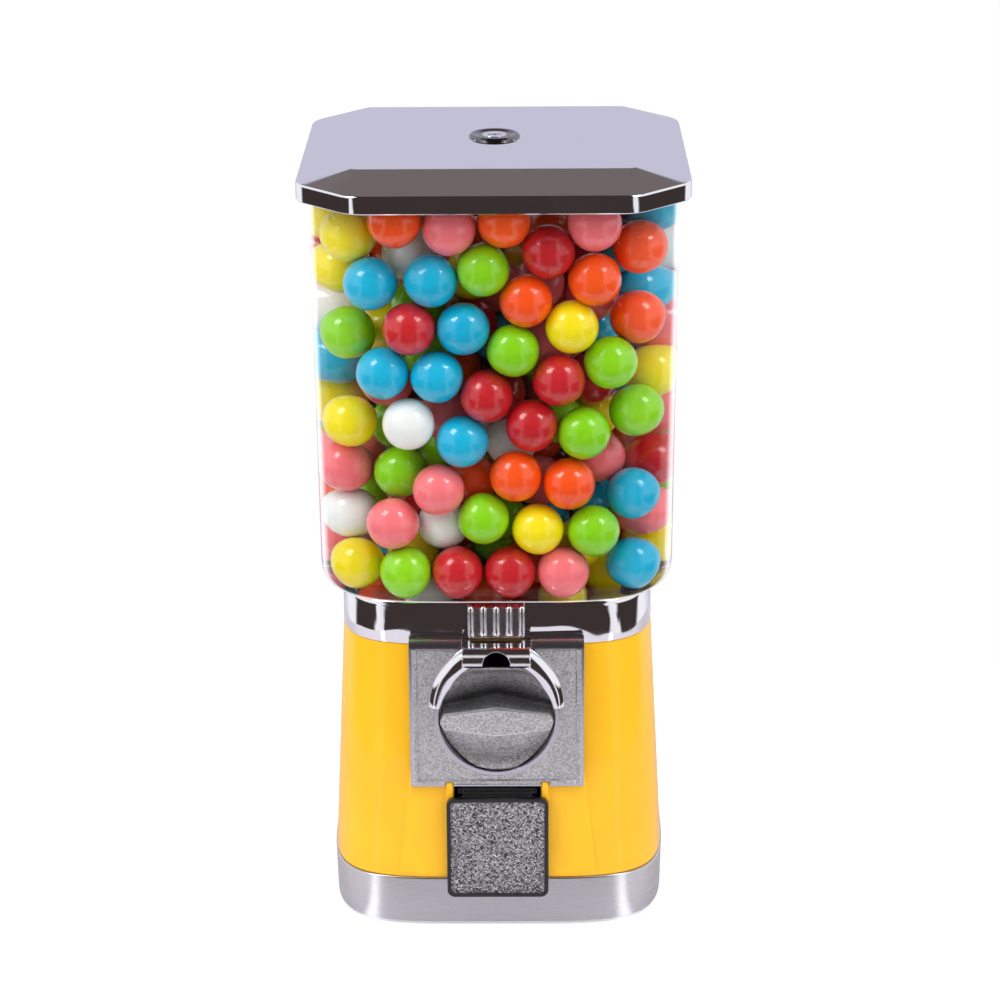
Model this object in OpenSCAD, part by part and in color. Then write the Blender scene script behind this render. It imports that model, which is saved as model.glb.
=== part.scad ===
// Gumball machine: a clear square hopper on a chromed collar and a painted base,
// with a coin mechanism that turns a five-pocket wheel and drops one ball down a chute.
// Millimetres, +Z up, the front faces -Y. The origin is on the table, under the centre rod.

/* [Plan] */
// Power of the rounded-square plan: 2 is a circle, higher is squarer
plan_power = 4.8; // [4.2:0.1:5.4]
// Number of points round the rounded-square plan
plan_steps = 64; // [48:8:80]

/* [Base] */
// Height of the rubber feet under the base plate
foot_h = 3.2; // [2.8:0.1:4.5]
// Diameter of a rubber foot
foot_d = 18; // [14:0.5:22]
// Distance of each foot from the centre, along X and along Y
foot_reach = 60; // [52:1:62]
// Thickness of the steel base plate
base_plate_t = 2.5; // [2:0.1:3]
// Spacing of the four stand holes in the base plate
stand_spacing = 100; // [90:1:104]
// Diameter of the four stand holes
stand_hole_d = 6.6; // [5.5:0.1:8]
// Height of the brushed base ring
ring_h = 25.4; // [22:0.2:28]
// Height of the ring's lower edge above the table
ring_lift = 2; // [1.4:0.1:2.4]
// Thickness of the base ring's sheet
ring_t = 1.2; // [1:0.1:1.6]
// Width of the base ring's two inward flanges
ring_flange = 6; // [5:0.5:8]
// How far the base ring stands proud of the painted shell
ring_proud = 0.7; // [0.4:0.1:1]

/* [Painted shell] */
// Half width of the shell at its lower edge
shell_half = 85.3; // [84:0.1:87]
// How much narrower than its lower edge the shell is at its neck, on each side
neck_draw = 6.3; // [5.7:0.1:6.9]
// Height of the shell
shell_h = 126.6; // [125:0.2:130]
// Wall thickness of the shell
shell_t = 2; // [1.6:0.1:2.4]
// Width of the flange round the neck that carries the collar
neck_flange = 7; // [5:0.5:8]
// How far the sloping pad stands proud of the shell's front
pad_proud = 0.8; // [0.4:0.1:1]
// Half width of the front pad at its top
pad_top_half = 44; // [43:0.5:46]
// Half width of the front pad at its foot
pad_foot_half = 51; // [48:0.5:53]

/* [Collar] */
// Height of the chromed collar
collar_h = 23; // [21:0.2:25]
// Wall thickness of the collar
collar_t = 3; // [2.4:0.1:3.4]
// Fillet round the collar's top edge
collar_fillet = 1.6; // [1:0.1:2]
// Slope of the dish that leads the balls to the wheel, in degrees
dish_slope = 31; // [26:1:34]
// Width of the ribbed block on the collar's front
fin_block_w = 28; // [26:0.5:30]
// Distance that the ribs stand out of the collar
fin_out = 5.6; // [4.5:0.1:6]
// Width of one rib
fin_w = 2.5; // [2:0.1:3]
// Depth of the slots between the ribs
fin_slot_depth = 2.6; // [2:0.1:3]

/* [Hopper] */
// How far the hopper's wall stands out over the shell's neck
hopper_out = 10.4; // [9.6:0.1:11]
// How much wider the hopper is at its top edge than at its foot, on each side
hopper_flare = 1.1; // [0.7:0.1:1.6]
// Height of the hopper
hopper_h = 204; // [200:0.5:210]
// Wall thickness of the hopper
hopper_t = 2.2; // [1.8:0.1:2.5]
// Radius of the hopper's rounded lower edge
hopper_round = 11.5; // [10:0.5:13]
// Width of the flat flange under the hopper
hopper_flange = 6; // [4:0.5:7]

/* [Lid] */
// How far the lid's rim stands out over the hopper's top edge
lid_out = 4.3; // [3.9:0.1:5.5]
// Height of the lid's upright lip
lid_lip = 8.4; // [7:0.2:10]
// Rise of the bevel from the lip to the flat top
lid_rise = 6.8; // [5:0.2:8]
// Width of the lid's bevel, from its rim to its flat top
lid_bevel = 27; // [25:0.2:30]
// Length that the chamfer takes off each corner of the lid, along an edge
lid_chamfer = 27; // [25:0.5:28]
// Radius that softens the ends of the lid's chamfers
lid_soften = 16; // [12:0.5:20]
// Thickness of the lid's sheet
lid_t = 1.6; // [1.2:0.1:1.8]
// How far the lid's lip hangs below the hopper's top edge
lid_overlap = 2; // [1.2:0.1:3]

/* [Lock and rod] */
// Diameter of the centre rod
rod_d = 8; // [7:0.5:9]
// Diameter of the lock's flange on the lid
lock_flange_d = 25.4; // [23:0.2:28]
// Diameter of the lock's barrel
lock_barrel_d = 19; // [17:0.5:21]
// Diameter of the lock's turning plug
lock_plug_d = 12; // [11:0.5:13]
// Length of the lock's barrel below the lid's flat top
lock_length = 29; // [27:0.5:32]
// Width across the flats of the rod's nuts
nut_af = 13; // [12:0.5:14]

/* [Gumballs] */
// Diameter of a gumball
ball_d = 25.4; // [24.6:0.1:25.6]
// Height of the topmost ball centres against the front wall, below the hopper's rim
fill_drop = 10; // [8:1:20]
// Height of the topmost ball centres inside the heap, below the hopper's rim
heap_drop = 34; // [30:1:50]
// Distance between the columns that the balls are dropped down
column_pitch = 6.6; // [6:0.2:8]

/* [Dispensing wheel] */
// Number of ball pockets
pockets = 5; // [4:1:5]
// Diameter of a pocket
pocket_d = 28.4; // [27.6:0.2:28.4]
// Distance of the pockets' centres from the rod
pocket_reach = 29.4; // [29:0.1:29.5]
// Thickness of the wheel above its teeth
wheel_t = 24; // [23:0.2:25]
// Diameter of the wheel
wheel_d = 115.6; // [115:0.2:116.4]
// Number of crown teeth under the wheel
crown_teeth = 50; // [50:5:50]
// Number of teeth on the pinion
pinion_teeth = 10; // [10:1:10]
// Radius at which the crown teeth and the pinion mesh
mesh_reach = 53.5; // [53:0.1:54]
// Play between the meshing teeth, along the pitch line
backlash = 0.9; // [0.6:0.1:1.2]
// Width of the pinion along its shaft
pinion_w = 6; // [5:0.2:6.4]

/* [Coin mechanism] */
// Width of the face plate
face_w = 87.4; // [86:0.2:90]
// Height of the face plate
face_h = 80.3; // [79.6:0.1:81]
// Thickness of the face plate
face_t = 2.6; // [2.2:0.1:3]
// Width of the smooth border round the face plate
face_border = 3.6; // [3:0.1:4.2]
// Depth of the grained field inside the border
field_depth = 0.6; // [0.4:0.1:0.8]
// Radius of the face plate's rounded top edge
face_roll = 4.2; // [3.4:0.1:4.8]
// Height of the handle's shaft below the face plate's top
shaft_drop = 41.3; // [41:0.1:41.6]
// Diameter of the handle's round knob
knob_d = 57.8; // [57:0.1:58.2]
// Height that the ring round the knob stands out of the face plate
knob_ring_out = 2.5; // [2:0.1:3]
// Wall of the ring round the knob
knob_ring_t = 2.2; // [1.8:0.1:2.6]
// How far the grip's face stands out of the face plate
grip_out = 7.5; // [6.5:0.1:9]
// Height of the grip at its middle
grip_h = 15.2; // [14:0.2:17]
// Width of the grip from tip to tip
grip_w = 56.8; // [55.6:0.2:57]
// Outer radius of the hood over the knob
hood_r = 34.6; // [34.2:0.1:35.4]
// How far the hood stands out of the face plate
hood_out = 7; // [6:0.2:8]
// Width of the coin block
block_w = 34; // [32:0.5:36]
// How far the coin block stands out of the face plate
block_out = 11; // [10:0.2:12]
// Height of the coin block's front
block_h = 8; // [7:0.2:9]
// Diameter of the coin that the mechanism takes
coin_d = 24.3; // [23:0.1:24.6]
// Thickness of the coin that the mechanism takes
coin_t = 1.8; // [1.6:0.1:2]
// Diameter of the handle's shaft
shaft_d = 10; // [9:0.5:11]
// Thickness of the coin wheel
coin_wheel_t = 5.4; // [5:0.1:5.8]
// Number of ratchet teeth
ratchet_teeth = 16; // [12:4:20]
// Thickness of the ratchet and of its dog
ratchet_t = 3.4; // [3:0.1:3.8]

/* [Chute and door] */
// Width of the chute door
door_w = 51.6; // [50:0.2:53]
// Height of the chute door
door_h = 55.2; // [54:0.2:56]
// Depth of the door's upper edge under its hinge pin
door_drop = 2.4; // [2:0.1:3]
// Thickness of the chute door
door_t = 3; // [2.6:0.1:3.4]
// Radius of the door's corners
door_round = 4; // [3:0.2:5]
// Width of the black rim round the door's cast face
door_rim_w = 1.8; // [1.4:0.1:2.4]
// Diameter of the door's hinge pin
door_pin_d = 2; // [1.6:0.1:2.4]
// Outer width of the chute
chute_w = 40; // [38:0.5:41]
// Wall thickness of the chute
chute_t = 2; // [1.6:0.1:2.4]

/* [Fits] */
// Radial clearance of a shaft or pin that turns in its bore
running_fit = 0.06; // [0.03:0.01:0.09]
// Gap between parts that move past each other
free_gap = 0.3; // [0.25:0.05:0.4]
// Gap round a part that is dropped into its seat
seat_gap = 0.15; // [0.1:0.05:0.25]

/* [Hidden] */
$fn = 48;
eps = 0.01;

// Half widths of the stack, from the shell's neck up
neck_half = shell_half - neck_draw;
hopper_foot_half = neck_half + hopper_out;
hopper_top_half = hopper_foot_half + hopper_flare;
lid_half = hopper_top_half + lid_out;
lid_flat_half = lid_half - lid_bevel;

// Heights of the stack, from the table up
z_plate = foot_h;
z_plate_top = z_plate + base_plate_t;
z_shell = ring_lift + ring_h;
z_neck = z_shell + shell_h;
z_collar_top = z_neck + collar_h;
z_hopper_top = z_collar_top + hopper_h;
z_rim = z_hopper_top - lid_overlap;
z_lip_top = z_rim + lid_lip;
z_flat = z_lip_top + lid_rise;

// Dispensing wheel, its pan and the crown gear
pan_seat = 2;
z_deck = z_neck + pan_seat;
z_wheel_top = z_deck - 1;
z_wheel_root = z_wheel_top - wheel_t;
crown_module = 2 * mesh_reach / crown_teeth;
addendum = 0.93 * crown_module;
dedendum = 1.17 * crown_module;
z_pitch = z_wheel_root - dedendum;
pinion_pitch_r = crown_module * pinion_teeth / 2;
shaft_z = z_pitch - pinion_pitch_r;
z_crown_tip = z_pitch - addendum;
pan_wall = 2;
pan_r = wheel_d / 2 + 0.7 + pan_wall;
pan_flange_r = pan_r + 7.5;
pan_boss_r = rod_d / 2 + 2;
pan_floor_t = 2.4;
z_pan_floor = z_wheel_root - free_gap;
z_trough = z_crown_tip - 2.4;
trough_r = mesh_reach - pinion_w / 2 - 2;
dish_r = pan_flange_r + 0.8;
cover_screw_y = pan_r + 3;
cover_t = 1.2;
z_cover_top = z_deck + pan_seat + cover_t;

// Coin mechanism, from the front back
face_top = shaft_z + shaft_drop;
face_bottom = face_top - face_h;
face_y = -(shell_half + ring_proud);
face_back = face_y + face_t;
field_top = face_top - face_roll - 0.7;
knob_back = face_y + 6;
knob_r = knob_d / 2;
knob_bore_r = knob_r + free_gap;
knob_ring_r = knob_bore_r + knob_ring_t;
housing_w = 75;
housing_wall = 2;
housing_front = face_back + seat_gap;
web_t = 2.4;
web_y = knob_back + free_gap;
wheel_bay_y = web_y + web_t;
coin_wheel_r = 26.5;
coin_wheel_y = wheel_bay_y + free_gap;
ratchet_y = coin_wheel_y + coin_wheel_t + 0.2;
rear_bay_y = wheel_bay_y + coin_wheel_t + 0.4;
back_plate_t = 2.4;
back_plate_y = ratchet_y + ratchet_t + 0.6;
back_plate_end = back_plate_y + back_plate_t;
housing_top = face_top - 9.6;
housing_bottom = face_bottom + 4.6;
screw_x = housing_w / 2 - 4.2;
screw_low_z = housing_bottom + 4.2;
screw_high_z = housing_top - 4.2;
screw_hole_r = 1.4;
screw_tip_y = face_back - 1.3;
hood_boss_r = 2.9;
hood_plate_half = face_w / 2 - face_border - 0.4;
hood_plate_z = shaft_z + 7.4;
shaft_r = shaft_d / 2;
pinion_front = -mesh_reach - pinion_w / 2;
pinion_end = -mesh_reach + pinion_w / 2;
ratchet_r = 24;
ratchet_root_r = 21.6;
// angles about the shaft: of the tooth face that the pawl catches, and of the pawl's bend
pawl_tip_a = 118;
pawl_bend_a = 127;
pawl_x = -32.4;
pawl_slot = 0.9;
pawl_foot_z = shaft_z - 5;
dog_pivot = [28.5, shaft_z + 20];
dog_pivot_r = 2;
dog_pin_end_r = 1.5;
dog_boss_r = 3.6;
dog_stub_r = 1.5;
dog_lift_a = 6;
dog_nose = let (r = coin_wheel_r + free_gap + dog_stub_r) [r * cos(55), shaft_z + r * sin(55)];

// Chute and its door
chute_bore_r = pocket_d / 2 + 0.6;
chute_tube_r = chute_bore_r + chute_t;
hinge_y = face_y + 1.9;
hinge_z = face_bottom - 2.8;
hinge_barrel_r = 2.2;
door_top = hinge_z - door_drop;
door_lift = door_top - door_h;
door_back = face_y - 0.4;
door_front = door_back - door_t;
lug_t = 2.4;
mouth_half = chute_w / 2 + 2;

// Lock and rod
z_rod = 3.6;
rod_seat_rise = 5;
z_rod_seat = z_plate_top + rod_seat_rise;
lock_bottom = z_flat - lock_length;
rod_top = lock_bottom + 11;
lock_socket_top = rod_top + 2;
lock_proud = 1.5;
nut_h = 4;
washer_t = 1.5;
z_boss_top = z_wheel_top + 0.3;

// Gumballs
ball_r = ball_d / 2;
ball_gap = ball_d + 0.12;
heap_top = z_hopper_top - heap_drop;
wall_top = z_hopper_top - fill_drop;
hopper_floor_z = z_collar_top + hopper_t;
ball_half = hopper_foot_half - hopper_t - ball_r - 0.45;
ball_corner = 34;
hopper_lip_half = hopper_foot_half - hopper_round - hopper_flange;

// ---------- plan outlines and rings ----------

function signed_pow(v, p) = sign(v) * pow(abs(v), p);

// Point i of the rounded-square plan of half width 1
function plan_dir(i) = let (a = 360 * i / plan_steps)
    [signed_pow(cos(a), 2 / plan_power), signed_pow(sin(a), 2 / plan_power)];

function plan_points(half) = [for (i = [0 : plan_steps - 1]) half * plan_dir(i)];

// A closed profile of [half width, z] points carried round the rounded-square plan
module plan_ring(profile) {
    n = len(profile);
    points = [for (p = profile, i = [0 : plan_steps - 1]) concat(p[0] * plan_dir(i), [p[1]])];
    faces = [for (j = [0 : n - 1], i = [0 : plan_steps - 1])
        let (k = (j + 1) % n, m = (i + 1) % plan_steps)
        [j * plan_steps + i, k * plan_steps + i, k * plan_steps + m, j * plan_steps + m]];
    polyhedron(points, faces, convexity = 6);
}

// A solid through rounded-square sections [half width, z], from the bottom up
module plan_solid(sections) {
    n = len(sections);
    points = [for (s = sections, i = [0 : plan_steps - 1]) concat(s[0] * plan_dir(i), [s[1]])];
    sides = [for (j = [0 : n - 2], i = [0 : plan_steps - 1])
        let (m = (i + 1) % plan_steps)
        [j * plan_steps + i, (j + 1) * plan_steps + i, (j + 1) * plan_steps + m, j * plan_steps + m]];
    bottom = [[for (i = [0 : plan_steps - 1]) i]];
    top = [[for (i = [plan_steps - 1 : -1 : 0]) (n - 1) * plan_steps + i]];
    polyhedron(points, concat(sides, bottom, top), convexity = 4);
}

// Half width of the painted shell's outside at height z
function shell_at(z) = shell_half + (neck_half - shell_half) * (z - z_shell) / shell_h;

// The painted shell's outside, grown by g, to cut the backs of pieces that lie on it
module shell_form(g) {
    plan_solid([[shell_half + g, z_shell - eps], [neck_half + g, z_neck], [neck_half + g, z_collar_top]]);
}

// Points of an arc in a profile
function arc(cx, cy, r, a0, a1, steps) =
    [for (i = [0 : steps]) let (a = a0 + (a1 - a0) * i / steps) [cx + r * cos(a), cy + r * sin(a)]];

// A side profile of [y, z] points, carried along X for a width w
module along_x(w, points) {
    translate([-w / 2, 0, 0])
        rotate([90, 0, 90])
        linear_extrude(w)
        polygon(points);
}

// An upright plate seen from the front: [x, z] outline from y0 to y1
module along_y(y0, y1) {
    translate([0, y1, 0])
        rotate([90, 0, 0])
        linear_extrude(y1 - y0)
        children();
}

// A round bar along Y
module bar_y(x, z, r, y0, y1) {
    translate([x, y1, z])
        rotate([90, 0, 0])
        cylinder(r = r, h = y1 - y0);
}

module rounded_rect(x0, x1, y0, y1, r) {
    translate([x0 + r, y0])
        square([x1 - x0 - 2 * r, y1 - y0]);
    translate([x0, y0 + r])
        square([x1 - x0, y1 - y0 - 2 * r]);
    for (x = [x0 + r, x1 - r], y = [y0 + r, y1 - r])
        translate([x, y])
        circle(r);
}

module four_corners(reach) {
    for (x = [-reach, reach], y = [-reach, reach])
        translate([x, y, 0])
        children();
}

// ---------- base ----------

module base_ring() {
    foot_half = shell_half + ring_proud - 0.6;
    top_half = shell_half + ring_proud;
    z_top = z_shell;
    color("silver")
    difference() {
        plan_ring([
            [foot_half - 0.5, ring_lift],
            [foot_half, ring_lift + 0.6],
            [top_half, z_top - 0.5],
            [top_half - 0.5, z_top],
            [top_half - ring_flange, z_top],
            [top_half - ring_flange, z_top - ring_t],
            [top_half - ring_t, z_top - ring_t],
            [foot_half - ring_t, z_plate],
            [foot_half - ring_flange, z_plate],
            [foot_half - ring_flange, ring_lift]]);
        // room for the chute's mouth behind the door
        translate([-mouth_half, -shell_half - 10, door_lift + 2])
            cube([2 * mouth_half, 30, z_shell]);
    }
}

module base_plate() {
    half = shell_half + ring_proud - 0.6 - ring_t - free_gap;
    seat_r = 15;
    color("dimgray")
    translate([0, 0, z_plate])
    difference() {
        union() {
            linear_extrude(height = base_plate_t)
                polygon(plan_points(half - 0.4));
            // pressed-up seat that the rod is bolted to
            rotate_extrude()
                polygon([[0, base_plate_t], [seat_r + 4, base_plate_t], [seat_r - 2, base_plate_t + rod_seat_rise],
                    [0, base_plate_t + rod_seat_rise]]);
        }
        translate([0, 0, -eps])
            rotate_extrude()
            polygon([[0, 0], [seat_r + 1, 0], [seat_r - 5, rod_seat_rise], [0, rod_seat_rise]]);
        translate([0, 0, -1])
            cylinder(d = rod_d + 2 * running_fit, h = rod_seat_rise + base_plate_t + 2);
        four_corners(stand_spacing / 2)
            translate([0, 0, -1])
            cylinder(d = stand_hole_d, h = base_plate_t + 2);
        four_corners(foot_reach)
            translate([0, 0, -1])
            cylinder(r = 2.5, h = base_plate_t + 2);
    }
}

// Push-in rubber foot: pad, neck through the plate, and a barbed head
module foot() {
    neck_r = 2.5 - 0.05;
    rotate_extrude()
        polygon([[0, 0], [foot_d / 2 - 1.5, 0], [foot_d / 2, 1.2], [foot_d / 2 - 1, foot_h], [neck_r, foot_h],
            [neck_r, foot_h + base_plate_t], [4, foot_h + base_plate_t], [3.6, foot_h + base_plate_t + 1],
            [2, foot_h + base_plate_t + 2.4], [0, foot_h + base_plate_t + 2.4]]);
}

module rubber_feet() {
    color("black")
    four_corners(foot_reach)
        foot();
}

// ---------- painted shell ----------

module body_shell() {
    color("gold")
    difference() {
        union() {
            plan_ring([
                [shell_half - 0.6, z_shell],
                [shell_half, z_shell + 0.6],
                [neck_half, z_neck],
                [neck_half - neck_flange, z_neck],
                [neck_half - neck_flange, z_neck - shell_t],
                [neck_half - shell_t, z_neck - shell_t],
                [shell_half - shell_t, z_shell]]);
            front_pad();
            shell_horns();
        }
        // window for the coin mechanism
        window_half = housing_w / 2 + 0.6;
        translate([-window_half, -shell_half - 5, housing_bottom - 0.6])
            cube([2 * window_half, 30, housing_top - housing_bottom + 1.2]);
        // mouth of the chute, and the hinge above it
        translate([-mouth_half, -shell_half - 5, z_shell - 1])
            cube([2 * mouth_half, 30, hinge_z + 3.6 - z_shell]);
    }
}

// The pad under the mechanism: a trapezoid that follows the shell, with two small horns
module front_pad() {
    columns = 10;
    z_foot = z_shell + 1.6;
    z_top = face_bottom + 7;
    points = [for (z = [z_foot, z_top], inward = [0, 1], i = [0 : columns])
        let (w = z == z_foot ? pad_foot_half : pad_top_half,
            x = w * (2 * i / columns - 1),
            half = shell_at(z) + (inward == 1 ? -shell_t / 2 : pad_proud))
        [x, -half * pow(1 - pow(abs(x) / half, plan_power), 1 / plan_power), z]];
    n = columns + 1;
    // outer foot 0, inner foot n, outer top 2n, inner top 3n
    walls = [for (i = [0 : columns - 1]) each [
        [2 * n + i, 2 * n + i + 1, i + 1, i],
        [n + i, n + i + 1, 3 * n + i + 1, 3 * n + i],
        [i, i + 1, n + i + 1, n + i],
        [3 * n + i, 3 * n + i + 1, 2 * n + i + 1, 2 * n + i]]];
    ends = [[0, n, 3 * n, 2 * n], [columns, 2 * n + columns, 3 * n + columns, n + columns]];
    polyhedron(points, concat(walls, ends), convexity = 4);
}

// Horns that locate the face plate's lower edge
module shell_horns() {
    horn_x = mouth_half + 2.2;
    for (s = [-1, 1])
        translate([s * horn_x - 1.7, face_y + 0.3, face_bottom - 8])
        cube([3.4, -shell_at(face_bottom) - face_y + 1, 10.4]);
}

// ---------- collar ----------

module collar() {
    slope = tan(dish_slope);
    dish_top = z_deck + pan_seat;
    inner_half = neck_half - collar_t - 1;
    color("lightsteelblue")
    union() {
        difference() {
            plan_solid(concat(
                [[neck_half + 0.3, z_neck], [neck_half - 0.8, z_collar_top - collar_fillet]],
                [for (a = [30, 60, 90]) [neck_half - 0.8 - collar_fillet * (1 - cos(a)),
                    z_collar_top - collar_fillet * (1 - sin(a))]]));
            // dish: a cone inside the square wall
            intersection() {
                plan_solid([[inner_half, z_neck - 1], [inner_half, z_collar_top + 1]]);
                translate([0, 0, dish_top])
                    cylinder(r1 = dish_r, r2 = dish_r + 40, h = 40 * slope);
            }
            // hollow under the dish
            difference() {
                plan_solid([[inner_half, z_neck - 1], [inner_half, z_collar_top - 4]]);
                translate([0, 0, z_neck - 2])
                    cylinder(r1 = pan_flange_r - 1, r2 = pan_flange_r - 1 + 42, h = 42 * slope);
            }
            // seat of the wheel pan
            translate([0, 0, z_neck - 1])
                cylinder(r = pan_r + seat_gap, h = 10);
            translate([0, 0, z_deck])
                cylinder(r = pan_flange_r + seat_gap, h = 10);
        }
        fin_block();
    }
}

// Ribbed block on the collar's front, rounded over at the top under the hopper
module fin_block() {
    back = -(neck_half - 2.4);
    front = -(neck_half + fin_out);
    foot_z = face_top + 0.3;
    rise = z_collar_top - foot_z;
    top_r = 3.4;
    ribs = 5;
    pitch = (fin_block_w - fin_w) / (ribs - 1);
    intersection() {
        difference() {
            along_x(fin_block_w, concat(
                [[back, foot_z + 0.6], [front + 0.8, foot_z]],
                [[front, foot_z + 0.8]],
                arc(front + top_r, foot_z + rise - top_r - 0.2, top_r, 180, 90, 6),
                [[back, foot_z + rise - 0.2]]));
            for (i = [0 : ribs - 2])
                translate([-fin_block_w / 2 + fin_w + i * pitch, front - 1, foot_z + 2.2])
                cube([pitch - fin_w, 1 + fin_slot_depth, rise]);
        }
        // the back of the block stays inside the collar's wall
        translate([-50, front - 1, 0])
            cube([100, back - front + 1, z_collar_top + 1]);
    }
}

// ---------- coin mechanism ----------

module face_plate() {
    half = face_w / 2;
    color("gainsboro")
    difference() {
        union() {
            // plate with its rolled top edge
            along_x(face_w, concat(
                [[face_back, face_bottom], [face_y + 0.5, face_bottom], [face_y, face_bottom + 0.5]],
                arc(face_y + face_roll, face_top - face_roll, face_roll, 180, 90, 8),
                [[-neck_half - 0.4, face_top], [-neck_half - 0.4, face_top - 1.8],
                    [face_y + face_roll, face_top - 2.6], [face_back, face_top - face_roll]]));
            // skirt that reaches back to the painted shell
            difference() {
                translate([-half, face_y + 1, face_bottom])
                    cube([face_w, 8, face_top - face_bottom - 1]);
                translate([-half + 1.8, face_y, face_bottom + 1.8])
                    cube([face_w - 3.6, 20, face_h]);
                shell_form(pad_proud + free_gap);
            }
            bar_y(0, shaft_z, knob_ring_r, face_y - knob_ring_out, face_back);
        }
        // grained field
        along_y(face_y - 0.01, face_y + field_depth)
            difference() {
                translate([-half + face_border, face_bottom + face_border])
                    square([face_w - 2 * face_border, field_top - face_bottom - face_border]);
                translate([0, shaft_z])
                    circle(knob_ring_r - eps);
            }
        // the knob's bore
        bar_y(0, shaft_z, knob_bore_r, face_y - 20, face_back + 10);
        // the hood's own plate fills the upper field, over the knob
        hood_cut(seat_gap);
        // notches for the painted shell's horns
        for (s = [-1, 1])
            translate([s * (mouth_half + 2.2) - 2.1, face_y - 1, face_bottom - 1])
            cube([4.2, 20, 3.9]);
        // blind holes for the lower screws, and seats of the hood's two bosses
        for (s = [-1, 1]) {
            bar_y(s * screw_x, screw_low_z, screw_hole_r, screw_tip_y - 0.2, face_back + 1);
            bar_y(s * screw_x, screw_high_z, hood_boss_r + seat_gap, face_y - 1, face_back + 1);
        }
    }
}

// Seat of the hood in the face plate, grown by g
module hood_cut(g) {
    difference() {
        translate([-hood_plate_half - g, face_y - 10, hood_plate_z - g])
            cube([2 * (hood_plate_half + g), 20, field_top - 0.6 - hood_plate_z + 2 * g]);
        translate([-100, face_back - 1 + g, -10])
            cube([200, 50, 400]);
    }
    translate([-block_w / 2 - g, face_y - 20, hood_plate_z])
        cube([block_w + 2 * g, 20 + face_t + 2, face_top]);
}

// Hood: crescent over the knob, coin block with its slot, and the grained plate behind
module coin_hood() {
    plate_back = face_back - 1;
    plate_front = face_y + field_depth;
    hood_centre = hood_plate_z;
    inner_r = knob_bore_r + 0.4;
    color("whitesmoke")
    difference() {
        union() {
            translate([-hood_plate_half, plate_front, hood_plate_z])
                cube([2 * hood_plate_half, plate_back - plate_front, field_top - 0.6 - hood_plate_z]);
            // crescent, a turned ring with a rounded front, cut off level under the block's top
            intersection() {
                translate([0, 0, hood_centre])
                    rotate([90, 0, 0])
                    rotate_extrude()
                    polygon(concat(
                        [[hood_r - 9, -plate_back], [hood_r, -plate_back], [hood_r, -face_y + 1.2]],
                        arc(hood_r - 5, -face_y + 1.2, 5, 0, 60, 5),
                        [[hood_r - 5, -face_y + hood_out], [hood_r - 9, -face_y + hood_out]]));
                translate([-100, face_y - 50, 0])
                    cube([200, 100, face_top - 2]);
            }
            coin_block();
            for (s = [-1, 1])
                bar_y(s * screw_x, screw_high_z, hood_boss_r, plate_back - 0.2, face_back);
        }
        translate([-100, face_y - 50, hood_plate_z - 100])
            cube([200, 100, 100]);
        bar_y(0, shaft_z, inner_r, face_y - 60, face_back + 10);
        coin_slot();
        // thumb notch in the block's lower lip
        bar_y(0, face_top - block_h - 0.6, 6.6, face_y - 30, face_y - block_out + 3.4);
        for (s = [-1, 1])
            bar_y(s * screw_x, screw_high_z, screw_hole_r, screw_tip_y - 0.1, face_back + 1);
    }
}

// Block over the crescent: rolled ledges on its front, and the coin slot in its top
module coin_block() {
    front = face_y - block_out;
    bottom = face_top - block_h;
    along_x(block_w, concat(
        [[face_back - 1, bottom - 3], [front + 3, bottom - 3.4], [front + 0.6, bottom - 1.4], [front, bottom]],
        [[front, bottom + 2.4], [front + 0.7, bottom + 3]],
        arc(front + 3.4, face_top - 3.4, 3.4, 180, 90, 6),
        [[face_y + 1, face_top], [face_back - 1, face_top - 1.2]]));
}

// Sloping way of a coin, from the block's top back to the coin wheel
module coin_slot() {
    w = coin_d + 1.2;
    t = (coin_t + 0.9) * 1.6;
    y0 = face_y - 3.2;
    run = wheel_bay_y + 1 - y0;
    along_x(w, [[y0 - 3, face_top + 3], [y0 + run, face_top - run], [y0 + run + t, face_top - run],
        [y0 - 3 + t, face_top + 3]]);
}

// Die-cast housing behind the face plate: knob seat, web, coin wheel bay and ratchet bay
module mech_housing() {
    half = housing_w / 2;
    color("darkgray")
    difference() {
        along_y(housing_front, back_plate_y)
            rounded_rect(-half, half, housing_bottom, housing_top, 3);
        bar_y(0, shaft_z, knob_bore_r, housing_front - 5, web_y);
        bar_y(0, shaft_z, shaft_r + running_fit, web_y - 5, wheel_bay_y + 5);
        bar_y(0, shaft_z, coin_wheel_r + 0.8, wheel_bay_y, rear_bay_y + 1);
        along_y(rear_bay_y, back_plate_y + 5)
            difference() {
                rounded_rect(-half + housing_wall, half - housing_wall, housing_bottom + housing_wall,
                    housing_top - housing_wall, 2);
                // block that grips the pawl's foot
                translate([-half, pawl_foot_z - 2])
                    square([pawl_x + half + 3.4, 12]);
            }
        along_y(rear_bay_y, back_plate_y + 5)
            translate([pawl_x - 0.05, pawl_foot_z])
            square([pawl_slot, 20]);
        // room for the dog's stub, at rest and lifted
        for (a = [0, dog_lift_a])
            bar_y(dog_pivot[0] + (dog_nose[0] - dog_pivot[0]) * cos(a) + (dog_nose[1] - dog_pivot[1]) * sin(a),
                dog_pivot[1] + (dog_nose[1] - dog_pivot[1]) * cos(a) - (dog_nose[0] - dog_pivot[0]) * sin(a),
                dog_stub_r + 0.4, coin_wheel_y + 0.7, rear_bay_y + 1);
        coin_slot();
        // way out for the spent coin, low on the right
        translate([12, wheel_bay_y, housing_bottom - 5])
            cube([half - 16, rear_bay_y + 1 - wheel_bay_y, 18]);
        dog_pin_hole();
        mech_screw_holes();
    }
}

module mech_screw_holes() {
    for (s = [-1, 1], z = [screw_low_z, screw_high_z])
        bar_y(s * screw_x, z, screw_hole_r, housing_front - 5, back_plate_end + 5);
}

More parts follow.
